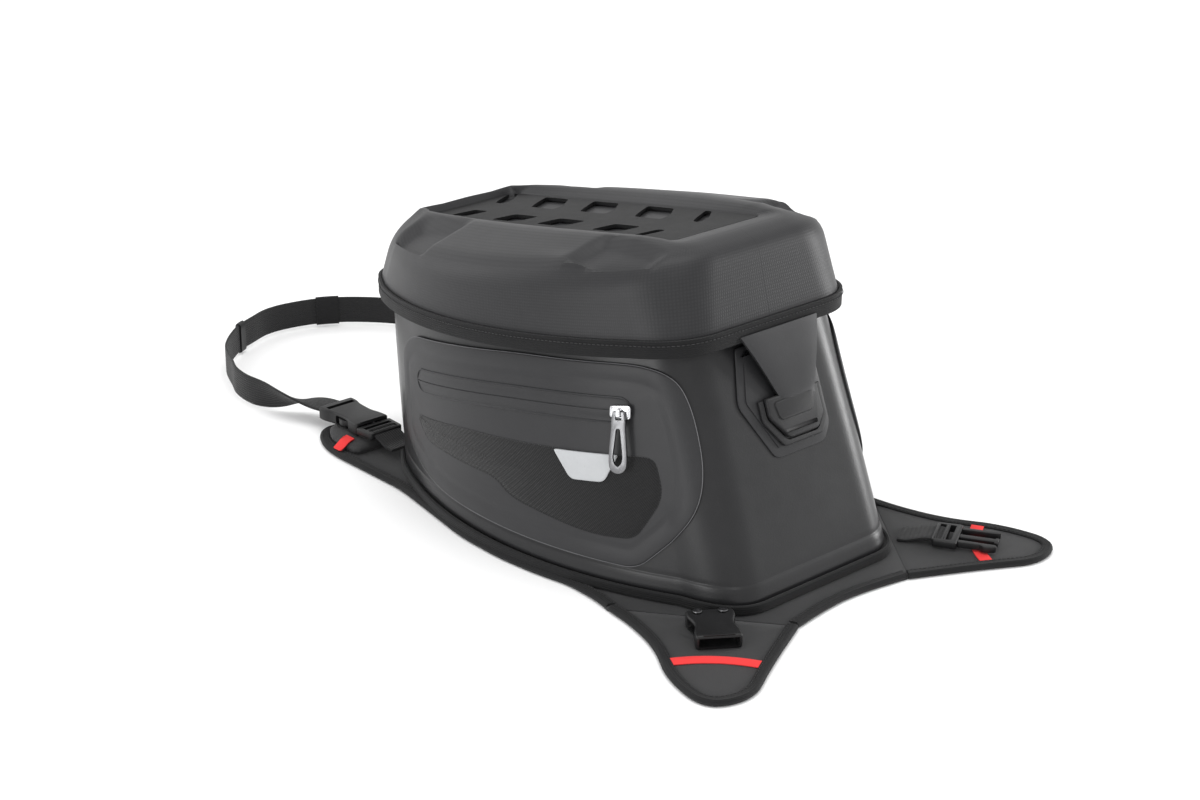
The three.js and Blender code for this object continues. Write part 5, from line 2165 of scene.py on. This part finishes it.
@dataclass
class Buckle:
    """A 25 mm side-release buckle, drawn flat with its webbing end at x = 0 and its prongs towards +X."""

    width: float = 34.0
    base: float = 19.0
    guide: float = 29.0
    prong_y: float = 11.2
    long_shell: float = 52.0
    short_shell: float = 40.0

    def male(self) -> Piece:
        """The pronged half's body: a ladder with two webbing slots, and its centre guide.

        Returns:
            The body.
        """
        h = self.width / 2
        body = plate("ladder", rounded([(0, -h + 1, 3), (self.base, -h, 2), (self.base, h, 2),
                                        (0, h - 1, 3)], 4),
                     -2.9, 2.9, 0.0011, 3)
        slots = [block("ladder_slot", (x - 2.2, -13, -9), (x + 2.2, 13, 9), 0)
                 for x in (4.9, 12.3)]
        spine = block("guide", (self.base - 1, -2.6, -1.7), (self.base + self.guide, 2.6, 1.7), 0.0007, 3)
        foot = block("guide_foot", (self.base + self.guide - 3, -4.6, -1.5),
                     (self.base + self.guide, 4.6, 1.5), 0.0006, 2)
        ribs = [block("ladder_rib", (x - 0.5, -12, 2.4), (x + 0.5, 12, 3.3), 0.0003)
                for x in (1.8, 8.6)]
        return merge("male", carve(body, *slots), spine, foot, *ribs)

    def prong(self) -> Piece:
        """One springy prong with its thumb pad.

        Returns:
            The prong.
        """
        b, tip = self.base, self.base + 29
        arm = plate("prong", rounded([(b + 0.3, -2, 0.4), (tip - 10, -1.6, 3), (tip - 0.5, -1.4, 3),
                                      (tip, 1.6, 2), (tip - 3, 3.6, 2), (tip - 9, 4.7, 2),
                                      (tip - 12.5, 1.8, 1), (b + 0.3, 2, 0.4)], 4),
                    -2.4, 2.4, 0.0008, 3)
        return moved(arm, Matrix.Translation((0, self.prong_y * MM, 0)))

    def female(self, length: float, bar: bool) -> Piece:
        """The socket half: a waisted shell, open at its mouth and at its sides.

        Args:
            length: Its length, in millimetres.
            bar: It has a bar for webbing, or else rivet holes.

        Returns:
            The socket.
        """
        mouth, h = self.base + 0.3, self.width / 2
        end = mouth + length
        shape = rounded([(mouth, -h + 0.5, 3), (mouth + 12, -h + 1.5, 6), (mouth + 18, -h + 3.5, 6),
                         (end - 16, -h + 2.5, 6), (end - 9, -h, 4), (end, -h, 3), (end, h, 3),
                         (end - 9, h, 4), (end - 16, h - 2.5, 6), (mouth + 18, h - 3.5, 6),
                         (mouth + 12, h - 1.5, 6), (mouth, h - 0.5, 3)], 4)
        shell = plate("shell", shape, -5.4, 5.4, 0.0019, 4)
        tools = [block("socket", (mouth - 2, -14, -3.5), (mouth + 31, 14, 3.5), 0)]
        for k in (-1, 1):
            y0, y1 = sorted((k * 9, k * 20))
            tools.append(block("window", (mouth + 13, y0, -3.5), (mouth + 31, y1, 3.5), 0.0012))
        if bar:
            tools.append(block("bar_slot", (end - 10.8, -13.2, -9), (end - 6.2, 13.2, 9), 0))
        else:
            tools += [moved(drum("rivet_hole", 2.1 * MM, -9 * MM, 9 * MM, 0),
                            Matrix.Translation(((end - 4.5) * MM, k * 9 * MM, 0)))
                      for k in (-1, 1)]
        shell = carve(shell, *tools)
        lip = block("mouth_lip", (mouth + 0.4, -11, 5.0), (mouth + 2.2, 11, 5.9), 0.0003)
        return merge("female", shell, lip)


@dataclass
class Buckles:
    """Places the buckles: one pair on each front arm, a socket on the left flap, prongs on the right."""

    parts: Buckle = field(default_factory=Buckle)
    front: tuple[float, float, float] = (-206.5, -84.5, 16.6)
    rear_male: tuple[float, float, float] = (199, 118, 8.4)
    rear_mouth: tuple[float, float, float] = (215, 124, 9.3)
    tail: float = 26.0

    def put(self, obj: Piece, place: Matrix, name: str, body: str, node: str,
            finish: Finish = PLASTIC) -> None:
        """Moves a finished part to its place and dresses it."""
        dress(smooth(bake(moved(named(obj, name), place)), 30), finish, body, node)

    def build(self) -> None:
        """Makes every buckle half, and the webbing tail of the rear one."""
        male, prong = self.parts.male(), self.parts.prong()
        female = self.parts.female(self.parts.long_shell, True)
        arm = Matrix.Translation(Vector(self.front) * MM) @ Matrix.Rotation(math.pi, 4, "Z")
        for side in ("left", "right"):
            place = arm if side == "left" else MIRROR @ arm
            self.put(copied(male, "m"), place, "front_ladder_" + side, "bag", "front_male_" + side)
            self.put(copied(female, "f"), place, "front_socket_" + side, "strap_loop", "front_female_" + side)
            for which, flip in (("outer", Matrix.Identity(4)), ("inner", MIRROR)):
                self.put(copied(prong, "p"), place @ flip, f"front_{which}_prong_{side}_moulding",
                         f"front_prong_{which}_{side}_body", f"front_prong_{which}_{side}")
        rear = Matrix.Translation(Vector(self.rear_male) * MM) @ Matrix.Rotation(math.radians(30), 4, "Z")
        self.put(copied(male, "m"), rear, "rear_ladder", "rear_buckle", "rear_male")
        for which, flip in (("outer", Matrix.Identity(4)), ("inner", MIRROR)):
            self.put(copied(prong, "p"), rear @ flip, f"rear_{which}_prong_moulding",
                     f"rear_prong_{which}_body", "rear_prong_" + which)
        path = [rear @ p for p in smooth_line([(x * MM, 0, z * MM) for x, z in
                                               ((-26, -3.5), (-19, -3.3), (-10, -0.6), (-3, 0.9), (6, 0.4),
                                                (9, -0.6))], 8)]
        tail = band("rear_tail_strap", path, [rear.to_3x3() @ Vector((0, 1, 0))] * len(path),
                    strap_section(25 * MM, 2.0 * MM, 6))
        dress(tail, WEBBING, "rear_buckle", "rear_tail_webbing")
        self.socket()
        for spare in (male, prong, female):
            bpy.data.objects.remove(spare)

    def socket(self) -> None:
        """The socket riveted to the left flap."""
        shell = self.parts.female(self.parts.short_shell, False)
        turn = Matrix.Translation(Vector(self.rear_mouth) * MM) @ Matrix.Rotation(math.radians(34), 4, "Z") \
            @ Matrix.Translation(((self.parts.base + 0.3) * MM, 0, 0)) @ Matrix.Rotation(math.pi, 4, "Z")
        place = MIRROR @ turn
        self.put(shell, place, "rear_socket", "flap_left_body", "rear_female")
        x = self.parts.base + 0.3 + self.parts.short_shell - 4.5
        for k, node in ((1, "rear_rivet_front"), (-1, "rear_rivet_rear")):
            head = drum("head", 3.4 * MM, 5.8 * MM, 7.0 * MM, 0.0005)
            dimple = drum("dimple", 1.5 * MM, 6.5 * MM, 9 * MM, 0)
            shank = drum("shank", 1.8 * MM, -5.3 * MM, 6 * MM, 0)
            rivet = merge("rivet", carve(head, dimple), shank)
            self.put(rivet, place @ Matrix.Translation((x * MM, k * 9 * MM, 0)), node + "_head",
                     "flap_left_body", node, NICKEL)


def main() -> None:
    """Builds the bag piece by piece, camera and strap first."""
    logging.basicConfig(level=logging.INFO, format="%(name)s: %(message)s")
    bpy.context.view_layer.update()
    studio = Studio()
    studio.camera()
    HeadStrap().build()
    Tub().build()
    SidePocket().build()
    Lid().build()
    RearClosure().build()
    Harness().build()
    Buckles().build()
    studio.build()


if __name__ == "__main__":
    main()
